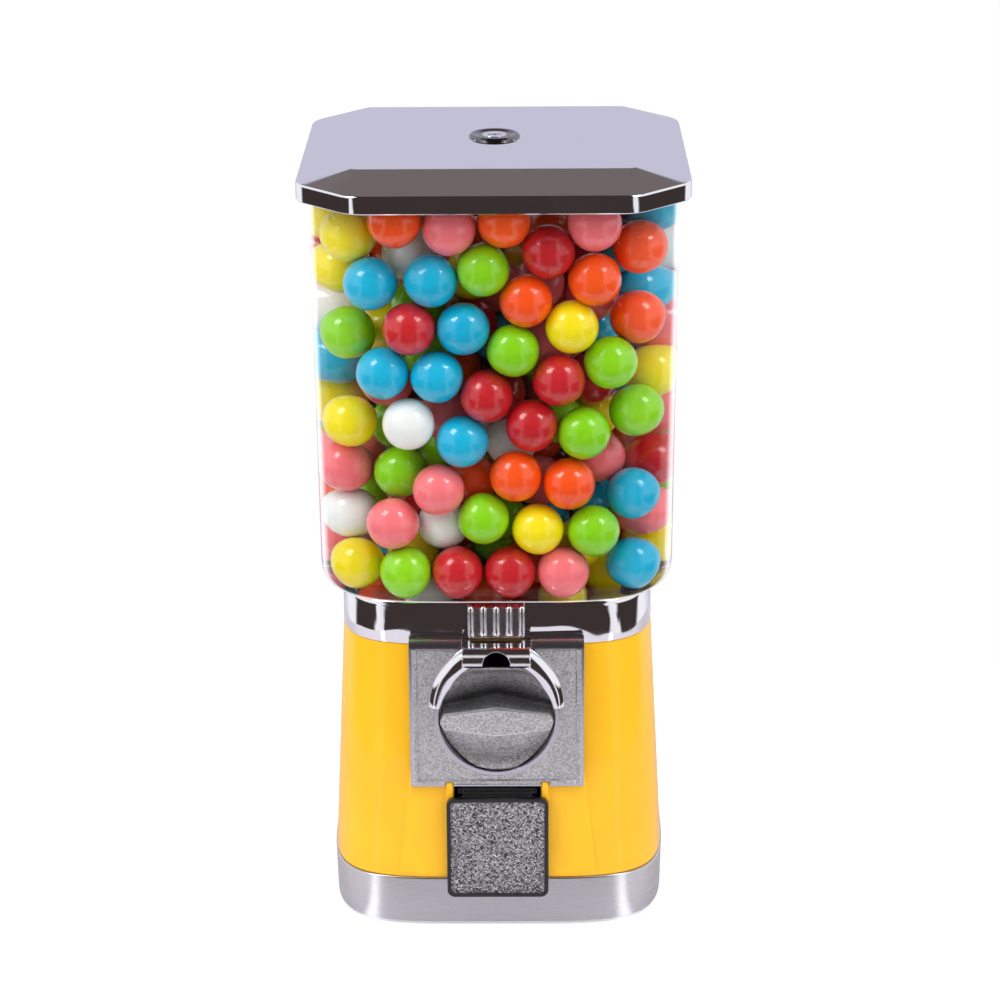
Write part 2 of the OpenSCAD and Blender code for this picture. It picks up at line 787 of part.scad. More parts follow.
module dog_pin_hole() {
    bar_y(dog_pivot[0], dog_pivot[1], dog_pin_end_r, wheel_bay_y + 1, back_plate_end + 5);
}

module mech_back_plate() {
    half = housing_w / 2;
    color("lightgray")
    difference() {
        along_y(back_plate_y, back_plate_end)
            rounded_rect(-half, half, housing_bottom, housing_top, 3);
        bar_y(0, shaft_z, shaft_r + running_fit, back_plate_y - 5, back_plate_end + 5);
        dog_pin_hole();
        mech_screw_holes();
    }
}

// Screws that clamp the back plate and the housing to the face plate, from behind
module mech_screws() {
    shank_r = screw_hole_r - 0.05;
    color("silver")
    for (s = [-1, 1], z = [screw_low_z, screw_high_z])
        translate([s * screw_x, back_plate_end, z])
        rotate([90, 0, 0])
        difference() {
            rotate_extrude()
                polygon([[0, -1.8], [1.6, -1.8], [2.9, -0.8], [2.9, 0], [shank_r, 0],
                    [shank_r, back_plate_end - screw_tip_y], [0, back_plate_end - screw_tip_y]]);
            translate([-1.7, -0.35, -2])
                cube([3.4, 0.7, 0.9]);
            translate([-0.35, -1.7, -2])
                cube([0.7, 3.4, 0.9]);
        }
}

// Knob with two finger scoops and a long grip between them
module handle() {
    scoop_r = 16;
    scoop_y = knob_back - 2 - scoop_r;
    scoop_z = 14.6;
    color("gainsboro")
    difference() {
        union() {
            difference() {
                bar_y(0, shaft_z, knob_r, face_y - 1.2, knob_back);
                for (s = [-1, 1])
                    translate([-knob_r - 5, scoop_y, shaft_z + s * scoop_z])
                    rotate([0, 90, 0])
                    cylinder(r = scoop_r, h = 2 * knob_r + 10, $fn = 96);
            }
            grip();
        }
        // square socket for the shaft's end
        translate([-2.5 - 0.03, knob_back - 4, shaft_z - 2.5 - 0.03])
            cube([5.06, 10, 5.06]);
    }
}

// The grip's face is a long flat hexagon with blunt tips, and its flanks widen towards the knob
module grip() {
    shoulder = 0.93;
    shoulder_h = 4.1;
    front = face_y - grip_out;
    module face(grow) {
        w = grip_w / 2 + grow / 4;
        h = grip_h / 2 + grow;
        polygon([[-w, shaft_z], [-shoulder * w, shaft_z + shoulder_h + grow / 2], [0, shaft_z + h],
            [shoulder * w, shaft_z + shoulder_h + grow / 2], [w, shaft_z],
            [shoulder * w, shaft_z - shoulder_h - grow / 2], [0, shaft_z - h],
            [-shoulder * w, shaft_z - shoulder_h - grow / 2]]);
    }
    along_y(front, front + 1)
        face(0);
    hull() {
        along_y(front + 0.7, front + 0.8)
            face(0.4);
        along_y(knob_back - 3, knob_back - 2.9)
            intersection() {
                face(1.4);
                translate([0, shaft_z])
                    circle(knob_r - 0.2);
            }
    }
}

module handle_shaft() {
    color("silver")
    difference() {
        union() {
            translate([-2.5, knob_back - 3.6, shaft_z - 2.5])
                cube([5, 4, 5]);
            bar_y(0, shaft_z, shaft_r, knob_back + 0.02, pinion_end + 1.6);
        }
        // groove of the shaft clip
        translate([0, pinion_end + 1.15, shaft_z])
            rotate([90, 0, 0])
            rotate_extrude()
            translate([shaft_r - 0.7, 0])
            square([2, 0.95]);
    }
}

// Coin wheel: a disc with a coin-shaped pocket that opens at the rim, at the top
module coin_wheel() {
    pocket_r = coin_d / 2 + 0.3;
    pocket_z = shaft_z + coin_wheel_r - pocket_r + 3;
    color("goldenrod")
    difference() {
        bar_y(0, shaft_z, coin_wheel_r, coin_wheel_y, coin_wheel_y + coin_wheel_t);
        bar_y(0, pocket_z, pocket_r, coin_wheel_y - 1, coin_wheel_y + coin_t + 0.8);
        bar_y(0, shaft_z, shaft_r + 0.02, coin_wheel_y - 1, coin_wheel_y + coin_wheel_t + 1);
        // lightening holes
        for (a = [150 : 40 : 390])
            if (abs(a - 90) > 50 && abs(a - 450) > 50)
                translate([0, coin_wheel_y + coin_wheel_t + 1, shaft_z])
                rotate([0, -a, 0])
                translate([16.5, 0, 0])
                rotate([90, 0, 0])
                cylinder(r = 3.6, h = coin_wheel_t + 2);
    }
}

// Ratchet: saw teeth that let the handle turn one way
module ratchet() {
    step = 360 / ratchet_teeth;
    color("peru")
    difference() {
        along_y(ratchet_y, ratchet_y + ratchet_t)
            translate([0, shaft_z])
            polygon([for (i = [0 : ratchet_teeth - 1], k = [0, 1])
                let (a = pawl_tip_a + i * step + k * 1.5,
                    r = k == 0 ? ratchet_r : ratchet_root_r)
                r * [cos(a), sin(a)]]);
        bar_y(0, shaft_z, shaft_r + 0.02, ratchet_y - 1, ratchet_y + ratchet_t + 1);
    }
}

// A point of the mechanism's plane at radius r and angle a about the shaft
function shaft_point(r, a) = [r * cos(a), shaft_z + r * sin(a)];

// Where the straight part of the pawl, r from the shaft, crosses the upright line at x
function pawl_point(r, x) = let (p = shaft_point(r, pawl_bend_a))
    [x, p[1] + (p[0] - x) / tan(pawl_bend_a)];

// Spring pawl: a steel strip, gripped in the housing, whose tip snaps behind each ratchet tooth
module ratchet_pawl() {
    strip = pawl_slot - 0.1;
    inner_r = ratchet_r + 0.4;
    color("darkgoldenrod")
    along_y(ratchet_y + 0.3, ratchet_y + ratchet_t - 0.3)
        polygon([
            shaft_point(ratchet_root_r + 0.5, pawl_tip_a + 3.4),
            shaft_point(inner_r, pawl_bend_a),
            pawl_point(inner_r, pawl_x + strip),
            [pawl_x + strip, pawl_foot_z + 0.5],
            [pawl_x, pawl_foot_z + 0.5],
            pawl_point(inner_r + strip, pawl_x),
            shaft_point(inner_r + strip, pawl_bend_a),
            shaft_point(ratchet_root_r + 1.4, pawl_tip_a + 2.4)]);
}

// Coin dog: a lever whose stub rides on the coin wheel's rim, and drops into an empty coin pocket
module coin_dog() {
    y0 = ratchet_y + 0.2;
    y1 = ratchet_y + ratchet_t - 0.2;
    along = (dog_nose - dog_pivot) / norm(dog_nose - dog_pivot);
    across = [-along[1], along[0]];
    color("slategray")
    difference() {
        union() {
            along_y(y0, y1)
                union() {
                    translate(dog_pivot)
                        circle(dog_boss_r);
                    polygon([dog_pivot + (dog_boss_r - 0.3) * across, dog_nose + (dog_stub_r - 0.1) * across,
                        dog_nose - (dog_stub_r - 0.1) * across, dog_pivot - (dog_boss_r - 0.3) * across]);
                }
            bar_y(dog_nose[0], dog_nose[1], dog_stub_r, coin_wheel_y + 1, y1);
        }
        bar_y(dog_pivot[0], dog_pivot[1], dog_pivot_r + running_fit, y0 - 1, y1 + 1);
    }
}

module dog_pin() {
    color("silver")
    union() {
        bar_y(dog_pivot[0], dog_pivot[1], dog_pivot_r, rear_bay_y + 0.05, back_plate_y - 0.05);
        bar_y(dog_pivot[0], dog_pivot[1], dog_pin_end_r - 0.02, wheel_bay_y + 1.2, back_plate_end + 0.6);
    }
}

// Leaf spring that presses the dog down, held under the housing's roof
module dog_spring() {
    y0 = ratchet_y + 0.7;
    roof = housing_top - housing_wall;
    leaf = 0.5;
    bend_x = dog_nose[0] + 7.2;
    press = dog_nose + [0.6, dog_stub_r + free_gap];
    color("darkgoldenrod")
    along_y(y0, y0 + ratchet_t - 1.4)
        polygon([[screw_x, roof - leaf], [screw_x, roof], [bend_x + 0.2, roof], press + [0.2, leaf + 0.2],
            press + [-1.2, leaf + 0.7], press + [-1.2, 0.7], press, [bend_x, roof - leaf]]);
}

// Pinion on the shaft's inner end, in mesh with the crown teeth under the wheel
module pinion() {
    half_step = 90 / pinion_teeth;
    root_r = pinion_pitch_r - dedendum;
    tip_r = pinion_pitch_r + addendum;
    play = backlash / 4 / pinion_pitch_r * 180 / PI;
    color("goldenrod")
    difference() {
        along_y(pinion_front, pinion_end)
            translate([0, shaft_z])
            polygon([for (i = [0 : pinion_teeth - 1], k = [-1, 1], m = [0 : 3])
                let (a = 90 - 360 * i / pinion_teeth,
                    order = k < 0 ? m : 3 - m,
                    r = [root_r, pinion_pitch_r - 0.3 * dedendum, pinion_pitch_r + 0.45 * addendum, tip_r][order],
                    w = [1.42, 1.12, 0.84, 0.42][order] * half_step - play)
                r * [cos(a - k * w), sin(a - k * w)]]);
        bar_y(0, shaft_z, shaft_r + 0.02, pinion_front - 1, pinion_end + 1);
    }
}

module shaft_clip() {
    color("dimgray")
    translate([0, pinion_end + 1.05, 0])
        rotate([90, 0, 0])
        linear_extrude(0.75)
        difference() {
            translate([0, shaft_z])
                circle(shaft_r + 2.2);
            translate([0, shaft_z])
                circle(shaft_r - 0.6);
            translate([-3, shaft_z - 12])
                square([6, 12]);
        }
}

// ---------- wheel ----------

// Pan: boss round the rod, floor under the pockets, trough for the crown teeth, wall and flange
module wheel_pan() {
    color("dimgray")
    difference() {
        rotate_extrude($fn = 96)
            polygon([
                [rod_d / 2 + running_fit, z_pan_floor - pan_floor_t - 3],
                [pan_boss_r + 2, z_pan_floor - pan_floor_t - 3],
                [pan_boss_r + 2, z_pan_floor - pan_floor_t],
                [trough_r - pan_wall, z_pan_floor - pan_floor_t],
                [trough_r - pan_wall, z_trough - pan_wall],
                [pan_r, z_trough - pan_wall],
                [pan_r, z_deck],
                [pan_flange_r, z_deck],
                [pan_flange_r, z_deck + pan_seat],
                [pan_r - pan_wall, z_deck + pan_seat],
                [pan_r - pan_wall, z_trough],
                [trough_r, z_trough],
                [trough_r, z_pan_floor],
                [pan_boss_r, z_pan_floor],
                [pan_boss_r, z_boss_top],
                [rod_d / 2 + running_fit, z_boss_top]]);
        // drop hole over the chute
        translate([0, -pocket_reach, z_pan_floor - 10])
            cylinder(r = pocket_d / 2 + 0.3, h = 20);
        // window for the pinion and its clip, and a notch for the shaft
        translate([-14, pinion_front - 1, z_trough - pan_wall - 1])
            cube([28, -trough_r - 0.05 - pinion_front + 1, pan_wall + 2]);
        bar_y(0, shaft_z, shaft_r + 0.6, -pan_r - 1, pinion_front);
        // holes for the cover's screws
        for (s = [-1, 1])
            translate([s * 12, -cover_screw_y, z_deck - 1])
            cylinder(r = 1.25, h = 5);
    }
}

module dispensing_wheel() {
    crown_r0 = trough_r + 0.8;
    crown_r1 = wheel_d / 2;
    bore_r = pan_boss_r + running_fit;
    color("orangered")
    difference() {
        union() {
            translate([0, 0, z_wheel_root])
                cylinder(d = wheel_d, h = wheel_t, $fn = 96);
            intersection() {
                translate([0, 0, z_crown_tip - 1])
                    difference() {
                        cylinder(r = crown_r1 - 0.4, h = wheel_t / 2, $fn = 96);
                        translate([0, 0, -1])
                            cylinder(r = crown_r0, h = wheel_t, $fn = 96);
                    }
                for (i = [0 : crown_teeth - 1])
                    rotate([0, 0, -90 + (i + 0.5) * 360 / crown_teeth])
                    crown_tooth(crown_r0 - 1, crown_r1);
            }
        }
        translate([0, 0, z_wheel_root - 10])
            cylinder(r = bore_r, h = wheel_t + 20);
        for (i = [0 : pockets - 1])
            rotate([0, 0, -90 + (i + 0.5) * 360 / pockets])
            translate([pocket_reach, 0, 0]) {
                translate([0, 0, z_wheel_root - 10])
                    cylinder(d = pocket_d, h = wheel_t + 20);
                // eased edge at the pocket's mouth
                translate([0, 0, z_wheel_top - 1.5])
                    cylinder(d1 = pocket_d, d2 = pocket_d + 4, h = 2);
            }
        // recess under the web between pockets
        for (i = [0 : pockets - 1])
            rotate([0, 0, -90 + i * 360 / pockets])
            translate([pocket_reach + 9.5, 0, z_wheel_root - 1])
            cylinder(r = 6, h = wheel_t - 2);
    }
}

// One crown tooth: a straight-flanked rack tooth that runs outward, tip down
module crown_tooth(r0, r1) {
    half = crown_module * PI / 4 - backlash / 4;
    flank = tan(20);
    tip = half - addendum * flank;
    root = half + (dedendum + 0.3) * flank;
    translate([r0, 0, 0])
        rotate([90, 0, 90])
        linear_extrude(r1 - r0)
        polygon([[-tip, z_crown_tip], [tip, z_crown_tip], [root, z_wheel_root + 0.3], [-root, z_wheel_root + 0.3]]);
}

// Cover over the pocket that is above the chute, so that only one ball falls
module brush_cover() {
    z0 = z_deck + pan_seat;
    cover_r = pocket_d / 2 + 4.5;
    color("silver")
    difference() {
        translate([0, 0, z0])
            linear_extrude(cover_t)
            intersection() {
                union() {
                    translate([0, -pocket_reach])
                        circle(cover_r);
                    translate([-cover_r, -cover_screw_y - 3])
                        square([2 * cover_r, cover_screw_y + 3 - pocket_reach]);
                }
                circle(pan_flange_r - 0.3, $fn = 96);
            }
        for (s = [-1, 1])
            translate([s * 12, -cover_screw_y, z0 - 1])
            cylinder(r = 1.6, h = 5);
    }
}

// Bristle strips under the cover, on both sides of the pocket
module brush_strips() {
    z0 = z_wheel_top + free_gap;
    color("black")
    for (s = [-1, 1])
        translate([s * (pocket_d / 2 + 1.4) - 1.2, -pocket_reach - 11, z0])
        cube([2.4, 26, z_deck + pan_seat - z0]);
}

module cover_screws() {
    depth = cover_t + pan_seat - 0.2;
    color("silver")
    for (s = [-1, 1])
        translate([s * 12, -cover_screw_y, z_cover_top])
        rotate_extrude()
        polygon([[0, -depth], [1.2, -depth], [1.2, 0], [2.6, 0], [2.3, 0.8], [1.2, 1.3], [0, 1.3]]);
}

// ---------- chute and door ----------

module chute() {
    half = chute_w / 2;
    back = -pocket_reach + chute_tube_r;
    front = -shell_at(z_shell) + 0.6;
    box_top = housing_bottom - 5.4;
    tube_top = z_pan_floor - pan_floor_t;
    ramp_z = 62;
    color("black")
    difference() {
        union() {
            translate([0, -pocket_reach, box_top - 1])
                cylinder(r = chute_tube_r, h = tube_top - box_top + 1);
            // mouthpiece: sloping floor, side walls and roof
            along_x(chute_w, [[front, door_lift + 4], [front + 12, door_lift + 4], [back, ramp_z - 16],
                [back, box_top], [hinge_y + 5, box_top], [hinge_y + 1.2, hinge_z - 3.4], [front, hinge_z - 3.4]]);
            // legs that stand on the base plate
            for (s = [-1, 1])
                along_x_at(s * (half - 1.5), 3, [[back - 26, z_plate_top], [back - 8, z_plate_top],
                    [back - 8, ramp_z - 18.6], [back - 26, ramp_z - 25.6]]);
            hinge_lugs();
        }
        translate([0, -pocket_reach, box_top - 12])
            cylinder(r = chute_bore_r, h = 100);
        // passage of the ball
        along_x(chute_w - 2 * chute_t, [[front - 20, door_lift + 6], [front + 11, door_lift + 6],
            [back - chute_t, ramp_z - 14 + chute_t], [back - chute_t, box_top - 3],
            [hinge_y + 8, box_top - 3], [hinge_y + 1.2, hinge_z - 6], [front - 20, hinge_z - 6]]);
    }
}

// Lugs that carry the door's pin, on a bridge behind the barrel
module hinge_lugs() {
    half = chute_w / 2 + lug_t / 2;
    difference() {
        union() {
            for (s = [-1, 1])
                along_x_at(s * (chute_w / 2 - lug_t / 2), lug_t, concat(
                    arc(hinge_y, hinge_z, hinge_barrel_r, 90, 200, 6),
                    [[hinge_y + 1.2, hinge_z - 4], [hinge_y + 8, hinge_z - 4], [hinge_y + 8, hinge_z + 2]]));
            translate([-half + lug_t / 2, hinge_y + hinge_barrel_r + 1, hinge_z - 4])
                cube([2 * half - lug_t, 2, 6]);
        }
        translate([-chute_w, hinge_y, hinge_z])
            rotate([0, 90, 0])
            cylinder(d = door_pin_d + 2 * running_fit, h = 2 * chute_w);
    }
}

module along_x_at(x, w, points) {
    translate([x, 0, 0])
        along_x(w, points);
}

// Door rim: rounded frame, hinge leaf and the barrel round the pin
module door_rim() {
    half = door_w / 2;
    barrel_half = chute_w / 2 - lug_t - free_gap;
    color("black")
    difference() {
        union() {
            along_y(door_front, door_back)
                rounded_rect(-half, half, door_lift, door_top, door_round);
            // hinge leaf from the door's top back to the barrel
            along_x(2 * barrel_half, [[door_back, door_top - 2], [door_back + 0.1, hinge_z - 2.6],
                [hinge_y - 0.6, hinge_z - 2.1], [hinge_y - 1.6, hinge_z + 1.5], [door_front + 1.6, hinge_z - 2],
                [door_front + 0.6, door_top - 2]]);
            translate([-barrel_half, hinge_y, hinge_z])
                rotate([0, 90, 0])
                cylinder(r = hinge_barrel_r, h = 2 * barrel_half);
        }
        translate([-chute_w, hinge_y, hinge_z])
            rotate([0, 90, 0])
            cylinder(d = door_pin_d + 2 * running_fit, h = 2 * chute_w);
        // seat of the cast face
        along_y(door_front - 1, door_back - 1)
            rounded_rect(-half + door_rim_w, half - door_rim_w, door_lift + door_rim_w, door_top - door_rim_w,
                door_round - door_rim_w + 0.2);
    }
}

module door_plate() {
    half = door_w / 2 - door_rim_w - 0.1;
    color("lightgray")
    along_y(door_front + 0.5, door_back - 1)
        rounded_rect(-half, half, door_lift + door_rim_w + 0.1, door_top - door_rim_w - 0.1,
            door_round - door_rim_w + 0.1);
}

module door_pin() {
    color("silver")
    translate([-chute_w / 2, hinge_y, hinge_z])
        rotate([0, 90, 0])
        cylinder(d = door_pin_d, h = chute_w);
}

// ---------- rod ----------

module centre_rod() {
    color("silver")
    translate([0, 0, z_rod])
        cylinder(d = rod_d, h = rod_top - z_rod - 1);
    color("silver")
    translate([0, 0, rod_top - 1])
        cylinder(d1 = rod_d, d2 = rod_d - 2, h = 1);
}

module nut(z) {
    translate([0, 0, z])
        difference() {
            cylinder(d = nut_af / cos(30), h = nut_h, $fn = 6);
            translate([0, 0, -1])
                cylinder(d = rod_d + 2 * running_fit, h = nut_h + 2);
        }
}

module washer(z) {
    translate([0, 0, z])
        difference() {
            cylinder(d = nut_af + 3, h = washer_t);
            translate([0, 0, -1])
                cylinder(d = rod_d + 2 * running_fit, h = washer_t + 2);
        }
}

module rod_nuts() {
    color("silver") {
        nut(z_plate + rod_seat_rise - nut_h - 2 * eps);
        nut(z_rod_seat + washer_t);
        nut(z_boss_top + washer_t);
        nut(z_pan_floor - pan_floor_t - 3 - washer_t - nut_h);
    }
}

module rod_washers() {
    color("lightgray") {
        washer(z_rod_seat);
        washer(z_boss_top);
        washer(z_pan_floor - pan_floor_t - 3 - washer_t);
    }
}

// ---------- hopper ----------

module hopper() {
    round_half = hopper_foot_half - hopper_round;
    round_z = z_collar_top + hopper_round;
    inner_r = hopper_round - hopper_t;
    color("white", 0.3)
    plan_ring(concat(
        [[hopper_lip_half, z_collar_top], [round_half, z_collar_top]],
        [for (a = [-75 : 15 : 0]) [round_half + hopper_round * cos(a), round_z + hopper_round * sin(a)]],
        [[hopper_top_half, z_hopper_top], [hopper_top_half - hopper_t, z_hopper_top]],
        [for (a = [0 : -15 : -75]) [round_half + inner_r * cos(a), round_z + inner_r * sin(a)]],
        [[round_half, hopper_floor_z], [hopper_lip_half, hopper_floor_z]]));
}

// ---------- lid and lock ----------

// Outline of the lid: a square with softened chamfers, of the given half width
module lid_outline(half, chamfer) {
    r = lid_soften;
    a = half - chamfer + r * tan(22.5) - r;
    b = half - r;
    hull()
        for (p = [[b, a], [a, b]], sx = [-1, 1], sy = [-1, 1])
            translate([sx * p[0], sy * p[1]])
            circle(r, $fn = 32);
}

// The lid's form: upright lip, then a bevel up to a flat square with near-sharp corners
module lid_form(inset, rise) {
    flat_half = lid_flat_half - inset * 0.6;
    hull() {
        linear_extrude(lid_lip - rise)
            lid_outline(lid_half - inset, lid_chamfer - inset * 0.6);
        translate([-flat_half, -flat_half, 0])
            cube([2 * flat_half, 2 * flat_half, lid_lip + lid_rise - inset]);
    }
}

// Height of the lid's bevel at a half width
function lid_at(half) = z_lip_top + lid_rise * (lid_half - half) / lid_bevel;

module lid() {
    seat_half = hopper_top_half + 0.1;
    rib_half = seat_half - 5;
    rib_sink = 0.55;
    color("lightslategray")
    difference() {
        union() {
            translate([0, 0, z_rim])
                difference() {
                    lid_form(0, 0);
                    translate([0, 0, -0.01])
                        lid_form(lid_t, 0.6);
                }
            // rib that seats on the hopper's top edge
            plan_ring([[rib_half, z_hopper_top + free_gap], [seat_half, z_hopper_top + free_gap],
                [seat_half, lid_at(seat_half) - rib_sink], [rib_half, lid_at(rib_half) - rib_sink]]);
            // stiff boss round the lock
            translate([0, 0, z_flat - 4])
                cylinder(r = lock_barrel_d / 2 + 4, h = 4 - 0.2);
        }
        translate([0, 0, z_flat - 10])
            cylinder(r = lock_barrel_d / 2 + seat_gap, h = 20);
    }
}

module lock_body() {
    color("silver")
    difference() {
        union() {
            translate([0, 0, lock_bottom])
                cylinder(d = lock_barrel_d, h = lock_length + 0.5);
            translate([0, 0, z_flat])
                rotate_extrude()
                polygon([[0, 0], [lock_flange_d / 2, 0], [lock_flange_d / 2, 0.5], [lock_flange_d / 2 - 1, lock_proud],
                    [0, lock_proud]]);
        }
        translate([0, 0, lock_bottom - 1])
            cylinder(r = rod_d / 2 + free_gap, h = rod_top - lock_bottom + 3);
        translate([0, 0, lock_socket_top + 2])
            cylinder(d = lock_plug_d + 2 * running_fit, h = 50);
        // dished face round the plug
        translate([0, 0, z_flat + lock_proud - 0.6])
            cylinder(d1 = lock_plug_d + 4, d2 = lock_flange_d - 4, h = 0.7);
    }
}

module lock_nut() {
    color("darkgray")
    translate([0, 0, z_flat - 4 - 4])
        difference() {
            cylinder(d = lock_barrel_d + 7, h = 4, $fn = 6);
            translate([0, 0, -1])
                cylinder(r = lock_barrel_d / 2 + 0.05, h = 6);
        }
}

module lock_plug() {
    plug_bottom = lock_socket_top + 2 + 0.05;
    top = z_flat + lock_proud - 0.4;
    color("whitesmoke")
    difference() {
        translate([0, 0, plug_bottom])
            cylinder(d = lock_plug_d, h = top - plug_bottom);
        // key slot with its round end
        translate([-3.6, -0.6, top - 6])
            cube([7.2, 1.2, 7]);
        translate([0, 0, top - 6])
            cylinder(r = 1.5, h = 7);
    }
}

// ---------- gumballs ----------

RED = 0;
ORANGE = 1;
YELLOW = 2;
GREEN = 3;
BLUE = 4;
PINK = 5;
WHITE = 6;

// Balls seen through the front wall, row by row from the bottom:
// place across, height above the hopper's foot, depth behind the wall, flavour
FRONT = [
    [-68, 13, 0, YELLOW], [-45, 14, 0, GREEN], [-19, 14, 0, RED], [7, 14, 0, RED], [33, 15, 0, PINK],
    [67, 14, 0, BLUE],
    [-70, 38, 7, WHITE], [-50, 38, 0, PINK], [-26, 36, 14, WHITE], [-6, 43, 0, GREEN], [21, 37, 0, YELLOW],
    [48, 36, 0, GREEN], [70, 38, 12, PINK],
    [-70, 61, 0, PINK], [-49, 62, 16, GREEN], [-28, 58, 0, PINK], [10, 65, 0, ORANGE], [36, 61, 0, ORANGE],
    [67, 50, 0, BLUE],
    [-70, 88, 0, YELLOW], [-42, 92, 0, WHITE], [-16, 83, 0, BLUE], [18, 91, 0, RED], [43, 87, 0, GREEN],
    [68, 94, 0, GREEN],
    [-74.1, 111, 14, BLUE], [-54, 117, 0, BLUE], [-28, 116, 0, BLUE], [-4, 106, 0, RED], [31, 114, 0, RED],
    [56, 122, 0, GREEN],
    [-70, 133, 0, GREEN], [-41, 140, 0, RED], [-15, 140, 0, BLUE], [9, 129, 0, GREEN], [37, 141, 0, YELLOW],
    [68, 141, 0, ORANGE],
    [-72, 161, 12, YELLOW], [-59, 161, 0, BLUE], [-30, 164, 0, BLUE], [-5, 169, 0, GREEN], [15, 154, 0, ORANGE],
    [48, 164, 0, ORANGE],
    [-69, 182, 0, YELLOW], [-47, 193, 0, ORANGE], [-21, 189, 0, PINK], [5, 193, 0, ORANGE], [26, 178, 0, RED],
    [48, 191, 0, PINK], [69, 176, -1, ORANGE]];

// How far back from the middle a ball lies that touches the front wall at x
function wall_reach(x) = let (s = ball_half - ball_corner, over = min(abs(x), ball_half) - s)
    over <= 0 ? ball_half : s + sqrt(ball_corner * ball_corner - over * over);

// Centre of a front ball [x, z, depth, flavour]
function front_centre(b) = [b[0], b[2] - wall_reach(b[0]), b[1]];

function sum_of(list, i = 0) = i == len(list) ? [0, 0, 0] : list[i] + sum_of(list, i + 1);

// One round of pushing apart front balls that overlap: each pair moves by half its overlap
function push_apart(balls) = let (at = [for (b = balls) front_centre(b)])
    [for (i = [0 : len(balls) - 1])
        let (pushes = [for (q = at) let (d = norm(at[i] - q))
                if (d > 0 && d < ball_gap + 0.05) (at[i] - q) / d * (ball_gap + 0.05 - d) * 0.52],
            move = sum_of(pushes),
            x = max(-ball_half, min(ball_half, balls[i][0] + move[0])),
            depth = balls[i][2] <= 0 ? balls[i][2] : max(1, balls[i][2] + move[1]))
        [x, max(balls[i][1] + move[2], floor_at(x, depth - wall_reach(x))), depth, balls[i][3]]];

function settled_front(balls, rounds) = rounds == 0 ? balls : settled_front(push_apart(balls), rounds - 1);

// Lowest height of a ball's centre over (x, y): the wheel and pan, the dish, or the hopper's floor
function floor_at(x, y) =
    let (r = norm([x, y]),
        side = pow(pow(abs(x), plan_power) + pow(abs(y), plan_power), 1 / plan_power),
        cover_top = y < -pocket_reach + 18 && abs(x) < 28 ? z_cover_top + (y < -cover_screw_y + 12 ? 1.3 : 0) : 0,
        deck = max(cover_top, r > pan_r - pan_wall - ball_r ? z_deck + pan_seat : z_wheel_top) + free_gap + ball_r,
        dish = z_deck + pan_seat + (r - dish_r) * tan(dish_slope) + ball_r / cos(dish_slope) + 0.15,
        in = hopper_lip_half - side,
        ledge = in > ball_r ? 0 : hopper_floor_z + 0.15 + (in > 0 ? sqrt(ball_r * ball_r - in * in) : ball_r))
    max(deck, dish, ledge);

// The first free height at or above z for a ball over (x, y), among the balls near it
function settle(x, y, z, near) =
    let (tops = [for (q = near)
            let (reach = ball_gap * ball_gap - (q[0] - x) * (q[0] - x) - (q[1] - y) * (q[1] - y))
            if (reach > 0 && abs(q[2] - z) < sqrt(reach)) q[2] + sqrt(reach)])
    len(tops) == 0 ? z : settle(x, y, max(tops) + 0.01, near);

// A point at the share t of the way round a rounded square
function ring_point(half, corner, t) =
    let (k = floor(4 * t), straight = 2 * (half - corner), bend = corner * PI / 2,
        s = (4 * t - k) * (straight + bend), c = half - corner,
        a = (s - straight) / corner * 180 / PI,
        p = s < straight ? [half, s - c] : [c + corner * cos(a), c + corner * sin(a)])
    [p[0] * cos(90 * k) - p[1] * sin(90 * k), p[0] * sin(90 * k) + p[1] * cos(90 * k)];

// Columns down which balls are dropped: rings from the wall inwards, with a little disorder
function columns() =
    let (core = lock_barrel_d / 2 + ball_r + 0.6, rings = floor((ball_half - core) / column_pitch),
        noise = rands(-1, 1, 2000, 11))
    [for (r = [0 : rings])
        let (half = ball_half - r * column_pitch, corner = max(ball_corner - r * column_pitch, 3),
            n = round((8 * half - 1.72 * corner) / column_pitch))
        for (i = [0 : n - 1])
            let (wander = r == 0 ? 0 : 1.6 * noise[(97 * r + 7 * i) % 2000],
                p = ring_point(half + wander, corner, (i + 0.5 + 0.3 * noise[(61 * r + 13 * i) % 2000]) / n))
            if (norm(p) > core) p];

// Drops balls one by one: the lowest free column takes the next, until every column is full
function fill(balls, cols) =
    let (heights = [for (c = cols) c[2]], low = min(heights))
    low > z_hopper_top ? balls :
    let (b = cols[search([low], heights)[0]],
        near = [for (q = concat(balls, [b]))
            if (norm([q[0] - b[0], q[1] - b[1]]) < 2 * ball_gap && q[2] > b[2] - ball_gap) q],
        next = [for (c = cols) norm(c - b) < ball_gap ? raised(c, settle(c[0], c[1], c[2], near)) : c])
    fill(concat(balls, [b]), next);

// A column at its new height, or closed for good once it is above the heap
function raised(c, z) =
    let (side = max(abs(c[0]), abs(c[1])), top = side > ball_half - 16 ? wall_top : heap_top)
    [c[0], c[1], z > top ? z_hopper_top + 100 : z];

// Every ball as [x, y, z, flavour]: the front balls, then the heap behind them
function all_balls() =
    let (front = settled_front([for (b = FRONT) [b[0], b[1] + z_collar_top, b[2], b[3]]], 60),
        seen = [for (b = front) front_centre(b)],
        open = [for (p = columns()) raised(p, settle(p[0], p[1], floor_at(p[0], p[1]), seen))],
        heap = fill(seen, open),
        luck = rands(0, 1, len(heap), 5))
    [for (i = [0 : len(heap) - 1])
        concat(heap[i], i < len(front) ? front[i][3] : flavour_of(luck[i]))];

// White is the rarest flavour in the mix
function flavour_of(u) = u > 0.93 ? WHITE : floor(u / 0.155);

module gumballs(kind, paint) {
    color(paint)
    for (b = all_balls())
        if (b[3] == kind)
            translate([b[0], b[1], b[2]])
            sphere(d = ball_d, $fn = 24);
}

